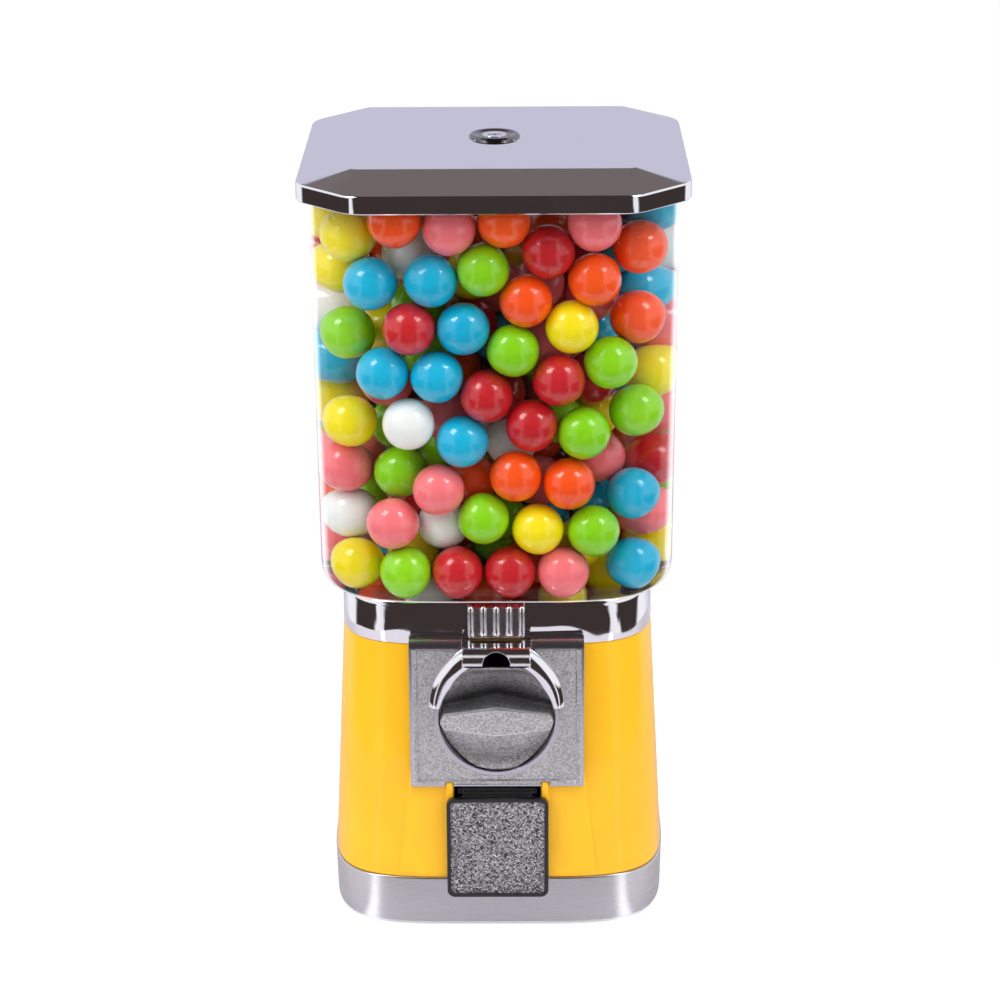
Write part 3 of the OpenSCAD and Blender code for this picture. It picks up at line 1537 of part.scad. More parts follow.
base_ring();
base_plate();
rubber_feet();
body_shell();
collar();
face_plate();
coin_hood();
mech_housing();
mech_back_plate();
mech_screws();
handle();
handle_shaft();
coin_wheel();
ratchet();
pinion();
shaft_clip();
ratchet_pawl();
coin_dog();
dog_pin();
dog_spring();
wheel_pan();
dispensing_wheel();
brush_cover();
brush_strips();
cover_screws();
chute();
door_rim();
door_plate();
door_pin();
centre_rod();
rod_nuts();
rod_washers();
hopper();
lid();
lock_body();
lock_nut();
lock_plug();
gumballs(RED, "firebrick");  // gumballs_red
gumballs(ORANGE, "orangered");  // gumballs_orange
gumballs(YELLOW, "yellow");  // gumballs_yellow
gumballs(GREEN, "yellowgreen");  // gumballs_green
gumballs(BLUE, "deepskyblue");  // gumballs_blue
gumballs(PINK, "lightcoral");  // gumballs_pink
gumballs(WHITE, "white");  // gumballs_white
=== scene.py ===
# %% [markdown]
# # A gumball machine, dressed for its portrait
# The packed CAD model is the frame: it brings the true sizes and the bodies that move. This lesson
# gives every piece a real finish, and replaces those whose curves show by finer numpy surfaces.

# %% Load the frame
import math

import bpy
import numpy as np
from mathutils import Matrix, Vector


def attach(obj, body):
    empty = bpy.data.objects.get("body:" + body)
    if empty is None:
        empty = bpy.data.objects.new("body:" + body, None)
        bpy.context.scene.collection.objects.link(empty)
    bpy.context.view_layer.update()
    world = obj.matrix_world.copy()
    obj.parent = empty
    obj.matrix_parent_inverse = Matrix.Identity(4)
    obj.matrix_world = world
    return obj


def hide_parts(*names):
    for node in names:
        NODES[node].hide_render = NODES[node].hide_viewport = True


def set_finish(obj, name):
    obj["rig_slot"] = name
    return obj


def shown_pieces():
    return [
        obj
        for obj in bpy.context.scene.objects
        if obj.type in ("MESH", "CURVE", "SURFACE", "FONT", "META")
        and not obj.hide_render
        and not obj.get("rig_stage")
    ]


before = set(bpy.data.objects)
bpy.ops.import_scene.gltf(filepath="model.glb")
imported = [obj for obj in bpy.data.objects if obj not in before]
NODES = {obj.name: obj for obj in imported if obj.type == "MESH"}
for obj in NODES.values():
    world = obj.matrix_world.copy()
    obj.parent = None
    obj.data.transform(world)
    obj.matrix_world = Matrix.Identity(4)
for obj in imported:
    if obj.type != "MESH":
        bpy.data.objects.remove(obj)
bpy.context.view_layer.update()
MM = 0.001

# %% [markdown]
# ## Camera
# A small machine on a counter is looked at from a little above. A long lens from a metre and a half
# keeps its uprights almost upright. The slight roll and turn are those of a hand-set tripod.

# %% Camera
CAMERA_AT = (0.001537, -1.421479, 0.722275)
CAMERA_PITCH = math.radians(20.105)
CAMERA_ROLL = math.radians(-0.383)
CAMERA_TURN = math.radians(0.507)
CAMERA_LENS = 105.015
CAMERA_SENSOR = 36
CAMERA_REACH = 50


def add_object(name, data):
    """Puts a new object into the scene."""
    made = bpy.data.objects.new(name, data)
    bpy.context.scene.collection.objects.link(made)
    return made


camera = add_object("camera", bpy.data.cameras.new("camera"))
camera.data.sensor_width = CAMERA_SENSOR
camera.data.lens = CAMERA_LENS
camera.data.clip_end = CAMERA_REACH
stand = Matrix.Rotation(CAMERA_TURN, 4, "Z") @ Matrix.Translation(CAMERA_AT)
tilt = Matrix.Rotation(math.pi / 2 - CAMERA_PITCH, 4, "X") @ Matrix.Rotation(CAMERA_ROLL, 4, "Z")
camera.matrix_world = stand @ tilt
bpy.context.scene.camera = camera
print("camera stands at", [round(v, 3) for v in stand.translation])

# %% [markdown]
# ## Nodes
# The world, the groups and the materials are all trees of shader nodes. One small class adds nodes
# to a tree, so that a finish reads like a sum rather than like wiring.

# %% Node helpers


class Nodes:
    """A node tree, and short ways to add to it. Colours are given as (red, green, blue)."""

    def __init__(self, tree):
        self.tree = tree

    def fill(self, socket, value):
        """Links an input to another node's socket, or writes a number or a colour into it."""
        if isinstance(value, bpy.types.NodeSocket):
            self.tree.links.new(value, socket)
        elif socket.type == "RGBA":
            socket.default_value = (*value, 1)
        else:
            socket.default_value = value

    def put(self, kind, inputs=(), **settings):
        """Adds a shader node, sets its properties and fills its inputs."""
        n = self.tree.nodes.new("ShaderNode" + kind)
        for name, value in settings.items():
            setattr(n, name, value)
        for name, value in dict(inputs).items():
            self.fill(n.inputs[name], value)
        return n

    def calc(self, operation, *values):
        """A Math node's result."""
        return self.put("Math", enumerate(values), operation=operation).outputs[0]

    def times(self, *values):
        """The product of its values."""
        product = values[0]
        for value in values[1:]:
            product = self.calc("MULTIPLY", product, value)
        return product

    def remap(self, value, low, high, to_low=0.0, to_high=1.0, mode="SMOOTHSTEP"):
        """A Map Range node's result, clamped."""
        ends = {"Value": value, "From Min": low, "From Max": high, "To Min": to_low, "To Max": to_high}
        return self.put("MapRange", ends, interpolation_type=mode).outputs["Result"]

    def band(self, value, low, high, soft):
        """1 between low and high, with a soft edge."""
        rising = self.remap(value, low - soft, low + soft)
        return self.times(rising, self.remap(value, high + soft, high - soft))

    def blend(self, mask, first, second):
        """Mixes two colours by a mask."""
        n = self.put("Mix", data_type="RGBA")
        for socket, value in ((0, mask), (6, first), (7, second)):
            self.fill(n.inputs[socket], value)
        return n.outputs[2]

    def noise(self, vector, scale, detail=2.0, roughness=0.5, distortion=0.0):
        """A Noise Texture's value."""
        inputs = {"Vector": vector, "Scale": scale, "Detail": detail, "Roughness": roughness}
        return self.put("TexNoise", {**inputs, "Distortion": distortion}).outputs["Fac"]

    def axes(self, vector):
        """A vector's x, y and z."""
        return self.put("SeparateXYZ", {"Vector": vector}).outputs

    def attribute(self, name):
        """A value that the mesh carries at its points."""
        return self.put("Attribute", attribute_name=name, attribute_type="GEOMETRY").outputs["Fac"]


def grey(v):
    """A grey."""
    return (v, v, v)


print("node helpers:", [name for name in vars(Nodes) if name[0] != "_"])

# %% [markdown]
# ## World
# Polished metal shows the room, so the room matters as much as the finish. Here it is a pale studio
# with a dim ceiling, and before the machine it is dark but for a white card at each side. The dark
# draws the brown bands across the chrome. The camera sees plain white, and soft light is an even grey.

# %% World
# each pair says where a field begins and where it is full, along x, y or z of the unit direction
FRONT_Y = (0.36, 0.20)
CARD_INNER, CARD_OUTER, CARD_TOP = (0.54, 0.59), (0.80, 0.74), (0.16, 0.04)
LOW_Z, MIDDLE_X = (-0.02, -0.10), (0.60, 0.50)
CEILING_Z, CEILING_X = (0.44, 0.58), (0.66, 0.45)
WALL_X = (0.25, 0.75)
LAVENDER, PALE = (0.60, 0.59, 0.71), (0.97, 0.97, 1.0)
DUSK, BROWN = (0.175, 0.150, 0.146), (0.045, 0.033, 0.031)
RAGGED, RAGGED_SCALE = 0.30, 3.2
FILL_GREY = 0.66

world = bpy.data.worlds.new("studio")
bpy.context.scene.world = world
world.use_nodes = True
sky = Nodes(world.node_tree)
sky.tree.nodes.clear()
direction = sky.put("TexCoord").outputs["Generated"]
to_right, to_back, up = sky.axes(direction)
uneven = sky.calc("SUBTRACT", sky.noise(direction, RAGGED_SCALE), 0.5)
sideways = sky.calc("ABSOLUTE", to_right)
ragged = sky.calc("ADD", sideways, sky.times(uneven, RAGGED))
card = sky.times(sky.remap(ragged, *CARD_INNER), sky.remap(ragged, *CARD_OUTER), sky.remap(up, *CARD_TOP))
low_or_middle = sky.calc("MAXIMUM", sky.remap(up, *LOW_Z), sky.remap(ragged, *MIDDLE_X))
dark_front = sky.times(sky.remap(to_back, *FRONT_Y), low_or_middle, sky.calc("SUBTRACT", 1.0, card))
dark_ceiling = sky.times(sky.remap(up, *CEILING_Z), sky.remap(sideways, *CEILING_X))
room = sky.blend(sky.remap(sideways, *WALL_X), LAVENDER, PALE)
room = sky.blend(dark_ceiling, room, DUSK)
room = sky.blend(dark_front, room, BROWN)
rays = sky.put("LightPath").outputs
clear_view = sky.calc("MAXIMUM", rays["Is Camera Ray"], rays["Is Transmission Ray"])
shown = sky.blend(clear_view, sky.blend(rays["Is Glossy Ray"], grey(FILL_GREY), room), grey(1.0))
background = sky.put("Background", {"Color": shown, "Strength": 1.0})
sky.put("OutputWorld", {"Surface": background.outputs[0]})
print("world nodes:", len(sky.tree.nodes))

# %% [markdown]
# ## Lamps
# Three large boxes give the soft light. Polished surfaces don't show them, because the world's cards
# take their place there. They do show two small ones, as the sharp highlights on the gumballs.

# %% Lamps
LAMP_AIM = Vector((0, 0, 0.2))


def softbox(name, at, size, power, shown):
    """A rectangular lamp that faces the machine. Polished surfaces show it, or only get its light."""
    lamp = bpy.data.lights.new(name, "AREA")
    lamp.shape = "RECTANGLE"
    lamp.size, lamp.size_y = size
    lamp.energy = power
    holder = add_object(name, lamp)
    facing = (Vector(at) - LAMP_AIM).to_track_quat("Z", "Y")
    holder.matrix_world = Matrix.Translation(at) @ facing.to_matrix().to_4x4()
    holder.visible_glossy = shown
    return holder


lamps = [softbox("softbox_left", (-1.25, -0.75, 0.75), (0.7, 1.3), 6.5, False),
         softbox("softbox_right", (1.25, -0.75, 0.75), (0.7, 1.3), 6.0, False),
         softbox("softbox_top", (0, -0.5, 1.9), (1.4, 1.0), 3.0, False),
         softbox("spot_left", (-0.86, -0.50, 1.50), (0.55, 0.65), 9.0, True),
         softbox("spot_right", (0.86, -0.50, 1.50), (0.45, 0.60), 6.5, True)]
print("lamps:", [lamp.name for lamp in lamps])

# %% [markdown]
# ## Surfaces from numpy
# Every pressed shell of this machine has one plan, a rounded square whose outline keeps
# |x|^p + |y|^p constant. A profile carried round that outline gives the ring, the shell, the collar and
# the hopper, so one small family of functions makes them all.

# %% Surface helpers
PLAN_POWER = 4.8
PLAN_STEPS = 336
FINE_STEPS = 20001
SHARP = 35.0
SHORT_SIDE = 0.45


def outline():
    """Unit rounded square: x and y are the signed 2/p powers of an angle's cosine and sine.
    The points are then spread evenly along the length of the line."""
    angle = np.linspace(0, 2 * np.pi, FINE_STEPS)
    raw = np.stack([np.cos(angle), np.sin(angle)], axis=1)
    raw = np.sign(raw) * np.abs(raw) ** (2 / PLAN_POWER)
    run = np.concatenate([[0], np.cumsum(np.linalg.norm(np.diff(raw, axis=0), axis=1))])
    even = np.linspace(0, run[-1], PLAN_STEPS, endpoint=False)
    return np.stack([np.interp(even, run, raw[:, k]) for k in (0, 1)], axis=1)


def parabola(first, corner, last, t):
    """Leaves the first point towards the corner and reaches the last one from there:
    (1 - t)^2 of the first, 2t(1 - t) of the corner and t^2 of the last."""
    return (1 - t) ** 2 * first + 2 * t * (1 - t) * corner + t ** 2 * last


def eased(profile, radius, steps=4):
    """Rounds each corner of a closed profile: a parabola leaves one side and joins the next,
    radius away from the corner, or nearer where a side is short."""
    p = np.asarray(profile, float)
    before, after = np.roll(p, 1, axis=0) - p, np.roll(p, -1, axis=0) - p
    lengths = np.stack([np.linalg.norm(before, axis=1), np.linalg.norm(after, axis=1)], axis=1)
    reach = np.minimum(radius, SHORT_SIDE * lengths.min(axis=1))[:, None]
    a, b = p + before / lengths[:, :1] * reach, p + after / lengths[:, 1:] * reach
    t = np.linspace(0, 1, steps)[None, :, None]
    return parabola(a[:, None], p[:, None], b[:, None], t).reshape(-1, 2)


def carried_round(profile):
    """Grid of points: each [half width, height] of the profile times the rounded square."""
    p = np.asarray(profile, float)
    grid = np.empty((len(p), PLAN_STEPS, 3))
    grid[:, :, :2] = p[:, None, :1] * outline()
    grid[:, :, 2] = p[:, 1:]
    return grid


def grid_faces(rows, columns, close_rows, close_columns):
    """Four-cornered faces between a grid's neighbouring points, going on over the edges that close."""
    index = np.arange(rows * columns).reshape(rows, columns)
    if close_rows:
        index = np.concatenate([index, index[:1]], axis=0)
    if close_columns:
        index = np.concatenate([index, index[:, :1]], axis=1)
    return np.stack([index[:-1, :-1], index[:-1, 1:], index[1:, 1:], index[1:, :-1]], axis=-1).reshape(-1, 4)


def shade(mesh, sharp=SHARP):
    """Shades a mesh smooth, but for edges sharper than this angle in degrees."""
    mesh.shade_smooth()
    mesh.set_sharp_from_angle(angle=math.radians(sharp))


def make_mesh(name, points, faces, sharp=SHARP):
    """An object from points in millimetres. The sign of its volume tells whether to turn its faces."""
    corners = points[np.asarray([f[:3] for f in faces])]
    volume = np.einsum("ij,ij->i", corners[:, 0], np.cross(corners[:, 1], corners[:, 2])).sum()
    turned = [list(f[::-1]) if volume < 0 else list(f) for f in faces]
    mesh = bpy.data.meshes.new(name)
    mesh.from_pydata((points * MM).tolist(), [], turned)
    shade(mesh, sharp)
    print(name, "has", len(mesh.polygons), "faces")
    return add_object(name, mesh)


def tube(name, grid, sharp=SHARP, closed=True):
    """A grid whose rows are closed lines. Its last row joins its first one, or both are filled."""
    rows, columns = grid.shape[:2]
    faces = grid_faces(rows, columns, closed, True).tolist()
    if not closed:
        first = list(range(columns))
        faces += [first[::-1], [k + (rows - 1) * columns for k in first]]
    return make_mesh(name, grid.reshape(-1, 3), faces, sharp)


def closed_ring(name, profile, round_by):
    """A closed profile carried all the way round."""
    return tube(name, carried_round(eased(profile, round_by)))


def apply_modifiers(piece):
    """Turns a piece's modifiers into its mesh."""
    bpy.context.view_layer.update()
    done = piece.evaluated_get(bpy.context.evaluated_depsgraph_get())
    mesh = bpy.data.meshes.new_from_object(done)
    piece.modifiers.clear()
    piece.data = mesh
    shade(mesh)


def box(name, low, high):
    """A box between two corners."""
    low, high = np.asarray(low, float), np.asarray(high, float)
    bits = np.array([[i & 1, i >> 1 & 1, i >> 2 & 1] for i in range(8)])
    faces = [(0, 2, 3, 1), (4, 5, 7, 6), (0, 1, 5, 4), (2, 6, 7, 3), (0, 4, 6, 2), (1, 3, 7, 5)]
    return make_mesh(name, low + bits * (high - low), faces)


def eased_box(name, low, high, round_by):
    """A box with its edges rounded."""
    piece = box(name, low, high)
    change = piece.modifiers.new("round", "BEVEL")
    change.width = round_by * MM
    change.segments = 3
    apply_modifiers(piece)
    return piece


def joined(name, pieces):
    """Puts several pieces into one object."""
    bpy.ops.object.select_all(action="DESELECT")
    for p in pieces:
        p.select_set(True)
    bpy.context.view_layer.objects.active = pieces[0]
    bpy.ops.object.join()
    pieces[0].name = name
    return pieces[0]


print("surface helpers ready, outline of", PLAN_STEPS, "points")

# %% [markdown]
# ## The sheet-metal forms
# The base ring, the painted shell and the collar are one stack. The CAD is faceted where its plan
# curves, which polished metal would show at once. Here the same profiles are carried round in finer
# steps, with eased edges, so a highlight runs round the corners without a break.

# %% Sizes of the stack, in millimetres
Z_FOOT, Z_SHELL, Z_NECK, Z_COLLAR, Z_HOPPER = 2.0, 27.4, 154.0, 177.0, 381.0
RING_HALF, RING_FOOT_HALF, SHELL_HALF, NECK_HALF = 86.0, 85.4, 85.3, 79.0
MOUTH_HALF = 22.0
FACE_Y = -86.0
SHAFT_Z = 117.796
FACE_BOTTOM = SHAFT_Z - 39.0
FACE_TOP = SHAFT_Z + 41.3
BEFORE_FRONT, BEHIND_FRONT = -96.0, -60.0


def cut_front(piece, half, bottom, top):
    """Cuts a window through a piece's front wall."""
    cutter = box("cutter", [-half, BEFORE_FRONT, bottom], [half, BEHIND_FRONT, top])
    change = piece.modifiers.new("cut", "BOOLEAN")
    change.object = cutter
    change.solver = "EXACT"
    apply_modifiers(piece)
    bpy.data.objects.remove(cutter)


print("the stack is", Z_HOPPER, "mm tall without its lid")

# %% Base ring
EASE = 0.5
RING_SHEET, RING_FLANGE = 1.2, 6.0
base_ring = closed_ring("ring_skin", [
    [RING_FOOT_HALF - EASE, Z_FOOT], [RING_FOOT_HALF, Z_FOOT + 0.6],
    [RING_HALF, Z_SHELL - EASE], [RING_HALF - EASE, Z_SHELL],
    [RING_HALF - RING_FLANGE, Z_SHELL], [RING_HALF - RING_FLANGE, Z_SHELL - RING_SHEET],
    [RING_HALF - RING_SHEET, Z_SHELL - RING_SHEET], [RING_FOOT_HALF - RING_SHEET, Z_FOOT + RING_SHEET],
    [RING_FOOT_HALF - RING_FLANGE, Z_FOOT + RING_SHEET], [RING_FOOT_HALF - RING_FLANGE, Z_FOOT]], EASE)
cut_front(base_ring, MOUTH_HALF, 20.4, 40)
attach(base_ring, "base")
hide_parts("base_ring")
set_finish(base_ring, "satin_steel")

# %% Painted shell
MOUTH_TOP = 78.6
SHELL_WALL, NECK_FLANGE = 2.0, 7.0
WINDOW_HALF, WINDOW_BOTTOM, WINDOW_TOP = 38.1, 82.8, 150.1
painted_shell = closed_ring("shell_skin", [
    [SHELL_HALF - 0.6, Z_SHELL], [SHELL_HALF, Z_SHELL + 0.6], [NECK_HALF, Z_NECK],
    [NECK_HALF - NECK_FLANGE, Z_NECK], [NECK_HALF - NECK_FLANGE, Z_NECK - SHELL_WALL],
    [NECK_HALF - SHELL_WALL, Z_NECK - SHELL_WALL], [SHELL_HALF - SHELL_WALL, Z_SHELL]], EASE)
cut_front(painted_shell, MOUTH_HALF, 20, MOUTH_TOP)
cut_front(painted_shell, WINDOW_HALF, WINDOW_BOTTOM, WINDOW_TOP)
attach(painted_shell, "base")
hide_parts("body_shell")
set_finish(painted_shell, "yellow_paint")

# %% [markdown]
# The pad on the shell's front is a raised trapezoid that follows the wall. Its edge is low, but the
# paint catches light along it. Two little horns stand at the top corners of the mouth.

# %% Front pad and horns
PAD_BOTTOM, PAD_TOP = 29.0, 85.8
PAD_HALF_BOTTOM, PAD_HALF_TOP = 51.0, 44.0
PAD_PROUD, PAD_SUNK = 0.8, -0.6


def front_wall(x, z, proud):
    """Depth of the shell's front wall at (x, z): its half width goes evenly from foot to neck, and
    the rounded square of that half width is solved for y, moved out by proud."""
    half = SHELL_HALF + (NECK_HALF - SHELL_HALF) * (z - Z_SHELL) / (Z_NECK - Z_SHELL) + proud
    return -half * (1 - (np.abs(x) / half) ** PLAN_POWER) ** (1 / PLAN_POWER)


def half_pad(name, side):
    """One side of the pad: a sheet between the mouth's edge and the sloping edge, which dips into
    the wall over its last millimetre, as the square root of what is left."""
    steps = np.concatenate([np.linspace(0, 0.965, 21), [0.975, 0.985, 0.994, 1.0]])
    share, rise = np.meshgrid(steps, np.linspace(0, 1, 31))
    z = PAD_BOTTOM + rise * (PAD_TOP - PAD_BOTTOM)
    edge = PAD_HALF_BOTTOM + rise * (PAD_HALF_TOP - PAD_HALF_BOTTOM)
    x = MOUTH_HALF + share * (edge - MOUTH_HALF)
    left = np.minimum(edge - x, z - PAD_BOTTOM + 0.1)
    proud = PAD_PROUD * np.clip(left / PAD_PROUD, 0, 1) ** 0.5
    skins = [np.stack([side * x, front_wall(x, z, d), z], axis=-1).reshape(-1, 3) for d in (proud, PAD_SUNK)]
    top = grid_faces(*x.shape, False, False)
    n = x.size
    grid = np.arange(n).reshape(x.shape)
    rim = np.concatenate([grid[0, :-1], grid[:-1, -1], grid[-1, :0:-1], grid[:0:-1, 0]])
    walls = np.stack([rim, np.roll(rim, -1), np.roll(rim, -1) + n, rim + n], axis=1)
    return make_mesh(name, np.concatenate(skins), np.concatenate([top, top[:, ::-1] + n, walls[:, ::-1]]))


HORN_X, HORN_HALF = MOUTH_HALF + 2.2, 1.7
HORN_LOW, HORN_HIGH = [FACE_Y + 0.3, 70.8], [-80.5, 81.2]
horns = [eased_box("horn", [x - HORN_HALF, *HORN_LOW], [x + HORN_HALF, *HORN_HIGH], EASE)
         for x in (-HORN_X, HORN_X)]
front_pad = joined("shell_pad", [half_pad("pad_left", -1), half_pad("pad_right", 1)] + horns)
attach(front_pad, "base")
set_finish(front_pad, "yellow_paint")

# %% [markdown]
# The collar is a chromed casting between the shell and the hopper. From outside only its wall shows,
# which rolls in at the top. Inside, a dish leads the gumballs down to the wheel.

# %% Collar
COLLAR_WALL = 4.0
DISH_RADIUS, DISH_Z, DISH_SHEET = 68.8, 158.0, 1.6
DISH_SLOPE = math.tan(math.radians(31))
SEAT_IN, SEAT_OUT, SEAT_Z = 60.9, 70.0, DISH_Z - 2.0
collar_skin = closed_ring("collar_skin", [
    [NECK_HALF + 0.3, Z_NECK], [NECK_HALF - 0.1, Z_COLLAR - 3.2], [NECK_HALF - 0.5, Z_COLLAR - 1.6],
    [NECK_HALF - 1.6, Z_COLLAR - 0.4], [NECK_HALF - 3.2, Z_COLLAR], [NECK_HALF - COLLAR_WALL, Z_COLLAR],
    [NECK_HALF - COLLAR_WALL, Z_NECK]], 1.1)


def dish_sheet(name):
    """The dish: a cone that rises from the pan's edge to the square wall. Each ray from the axis
    runs from the pan's radius to where the rounded square cuts that ray."""
    line = outline() * (NECK_HALF - COLLAR_WALL + 0.2)
    reach = np.linalg.norm(line, axis=1)
    radius = DISH_RADIUS + np.linspace(0, 1, 24)[:, None] * (reach - DISH_RADIUS)
    z = np.minimum(DISH_Z + (radius - DISH_RADIUS) * DISH_SLOPE, Z_COLLAR)
    top = np.dstack([radius[:, :, None] * (line / reach[:, None]), z])
    return tube(name, np.concatenate([top, top[::-1] - [0, 0, DISH_SHEET]]))


dish = dish_sheet("dish")
seat_side = [[SEAT_IN, SEAT_Z], [SEAT_IN, DISH_Z], [SEAT_OUT, DISH_Z], [SEAT_OUT, SEAT_Z]]
seat = closed_ring("dish_seat", seat_side, 0.2)
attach(collar_skin, "base")
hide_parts("collar")
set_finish(collar_skin, "bright_chrome")

# %% [markdown]
# The ribbed block on the collar's front is cast with it: five rounded ribs stand before dark slots
# and run out into the block's foot. Each rib is its side view, carried across and rounded at its ends.

# %% Collar's ribbed block
RIB_FRONT = -(NECK_HALF + 5.6)
RIB_HALF, RIB_PITCH, RIB_ROUND = 1.45, 6.375, 1.25
BLOCK_FOOT = FACE_TOP + 0.3
BLOCK_BACK = -77.5
BLOCK_HALF = 13.2
SLOT_DEPTH = 2.6


def pressed(name, side_profile, middle_x, half, round_by):
    """A side profile of [y, z] carried along x, with its ends rounded in: near each end the profile
    shrinks towards its middle as a quarter circle does."""
    p = eased(side_profile, round_by, 5)
    middle, size = (p.max(axis=0) + p.min(axis=0)) / 2, (p.max(axis=0) - p.min(axis=0)) / 2
    turn_in = np.linspace(0, np.pi / 2, 5)
    ends, drawn_in = round_by * (1 - np.cos(turn_in)), round_by * (1 - np.sin(turn_in))
    scale = 1 - np.concatenate([drawn_in, drawn_in[::-1]])[:, None] / size
    grid = np.empty((len(scale), len(p), 3))
    grid[:, :, 0] = middle_x + np.concatenate([ends - half, half - ends[::-1]])[:, None]
    grid[:, :, 1:] = middle + (p - middle) * scale[:, None]
    return tube(name, grid, closed=False)


foot_side = [[BLOCK_BACK, BLOCK_FOOT + 0.6], [RIB_FRONT + 0.8, BLOCK_FOOT], [RIB_FRONT, BLOCK_FOOT + 0.8]]
rib_side = foot_side + [[RIB_FRONT, Z_COLLAR - 3.6], [RIB_FRONT + 1.0, Z_COLLAR - 1.2],
                        [RIB_FRONT + 3.4, Z_COLLAR - 0.2], [BLOCK_BACK, Z_COLLAR - 0.2]]
slot_side = foot_side + [[RIB_FRONT, BLOCK_FOOT + 1.6], [RIB_FRONT + SLOT_DEPTH, BLOCK_FOOT + 2.4],
                         [RIB_FRONT + SLOT_DEPTH, Z_COLLAR - 2.4], [BLOCK_BACK, Z_COLLAR - 0.6]]
ribs = [pressed("rib", rib_side, k * RIB_PITCH, RIB_HALF, RIB_ROUND) for k in range(-2, 3)]
back_block = pressed("rib_back", slot_side, 0, BLOCK_HALF, 0.3)
collar_ribs = joined("collar_ribs", ribs + [back_block, dish, seat])
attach(collar_ribs, "base")
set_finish(collar_ribs, "bright_chrome")

# %% [markdown]
# ## Hopper
# The hopper is one blow of clear plastic with a rounded foot. It is a true wall with an inside and an
# outside, because clear plastic shows itself only by its two skins and by its rim.

# %% Hopper
HOPPER_FOOT_HALF, HOPPER_TOP_HALF = 89.4, 90.5
HOPPER_ROUND = 11.5
HOPPER_HOLE = 71.9
WALL = 2.2


def foot_arc(radius, first, last):
    """Part of a circle about the foot's bend, from one angle to another."""
    a = np.radians(np.linspace(first, last, 10))
    centre = [HOPPER_FOOT_HALF - HOPPER_ROUND, Z_COLLAR + HOPPER_ROUND]
    return centre + radius * np.stack([np.cos(a), np.sin(a)], axis=1)


hopper_profile = np.concatenate([
    [[HOPPER_HOLE, Z_COLLAR + WALL], [HOPPER_HOLE, Z_COLLAR]], foot_arc(HOPPER_ROUND, -90, 0),
    [[HOPPER_TOP_HALF, Z_HOPPER - 0.6], [HOPPER_TOP_HALF - 0.5, Z_HOPPER],
     [HOPPER_TOP_HALF - WALL + 0.5, Z_HOPPER], [HOPPER_TOP_HALF - WALL, Z_HOPPER - 0.6]],
    foot_arc(HOPPER_ROUND - WALL, 0, -90)])
hopper = tube("hopper_clear", carried_round(hopper_profile), 60)
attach(hopper, "base")
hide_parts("hopper")
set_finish(hopper, "clear_plastic")

# %% [markdown]
# ## Lid
# The lid is a pressed, plated sheet: an upright lip, a bevel that leans in to a flat square, and
# cut corners. Both of its outlines are eight-sided with softened corners, so one surface can pass
# from the lip's outline to the flat's outline in straight lines.

# %% Lid
Z_RIM, Z_LIP, Z_FLAT = 378.6, 387.4, 394.2
LID_HALF, FLAT_HALF = 94.8, 67.8
LIP_CUT, FLAT_CUT = 27.0, 2.4
LIP_SOFT, FLAT_SOFT = 7.5, 1.2
SHEET = 1.6
LID_RISE = Z_FLAT - Z_LIP


def eight_sided(half, cut, soften):
    """A square of the given half width with its corners cut off by `cut` along each edge, then its
    eight corners rounded by parabolas. Every outline has its points in the same order, so a straight
    edge of one goes with the same edge of another and the bevel between them is flat."""
    quarter = np.array([[half, half - cut], [half - cut, half]])
    corners = [quarter, quarter[::-1] * [-1, 1], -quarter, quarter[::-1] * [1, -1]]
    return eased(np.concatenate(corners), soften, 14)


def lid_outline(inset, share):
    """The lid's outline on its way from the lip (share 0) to the flat (share 1)."""
    lip = eight_sided(LID_HALF - inset, LIP_CUT - 0.6 * inset, LIP_SOFT)
    flat = eight_sided(FLAT_HALF - 0.6 * inset, FLAT_CUT, FLAT_SOFT)
    return lip + share * (flat - lip)


def bent(first, corner, last):
    """Parabola from one (share, height) to another that stays inside the corner between them."""
    return parabola(*np.array([first, corner, last], float), np.linspace(0, 1, 6)[:, None])


def rows_of(levels):
    """Grid whose rows are the outlines given as (outline, height)."""
    return np.array([np.column_stack([line, np.full(len(line), z)]) for line, z in levels])


lip_bend = bent((0, Z_LIP - 1.0), (0, Z_LIP), (0.05, Z_LIP + 0.05 * LID_RISE))
flat_bend = bent((0.955, Z_FLAT - 0.045 * LID_RISE), (1, Z_FLAT), (1.02, Z_FLAT))
bevel = [[share, Z_LIP + share * LID_RISE] for share in (0.06, 0.5, 0.94)]
levels = [(lid_outline(0.4, 0), Z_RIM), (lid_outline(0, 0), Z_RIM + 0.5)]
levels += [(lid_outline(0, share), z) for share, z in np.concatenate([lip_bend, bevel, flat_bend])]
levels += [(lid_outline(0, 1) * k, Z_FLAT) for k in (0.9, 0.6, 0.2, 0.15)]
levels += [(lid_outline(0, 1) * 0.15, Z_FLAT - SHEET)]
levels += [(lid_outline(SHEET, 1) * k, Z_FLAT - SHEET) for k in (0.9, 1)]
levels += [(lid_outline(SHEET, 0), Z_LIP - 0.6), (lid_outline(SHEET, 0), Z_RIM)]
lid_sheet = tube("lid_sheet", rows_of(levels), 24)
lid_rib = closed_ring("lid_rib", [[85.6, 381.3], [90.6, 381.3], [90.6, 387.9], [85.6, 389.1]], 0.6)
lid_skin = joined("lid_skin", [lid_sheet, lid_rib])
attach(lid_skin, "lid")
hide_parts("lid")
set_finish(lid_skin, "lid_enamel")

# %% [markdown]
# ## Knob
# The knob is one casting: a disc with a scoop above and below, and between them a grip, a long blunt
# hexagon that flares out into the scoops. Its rows of points go from the hexagon out to the disc's
# edge, so the hexagon's outline stays crisp while the flanks under it are smooth.

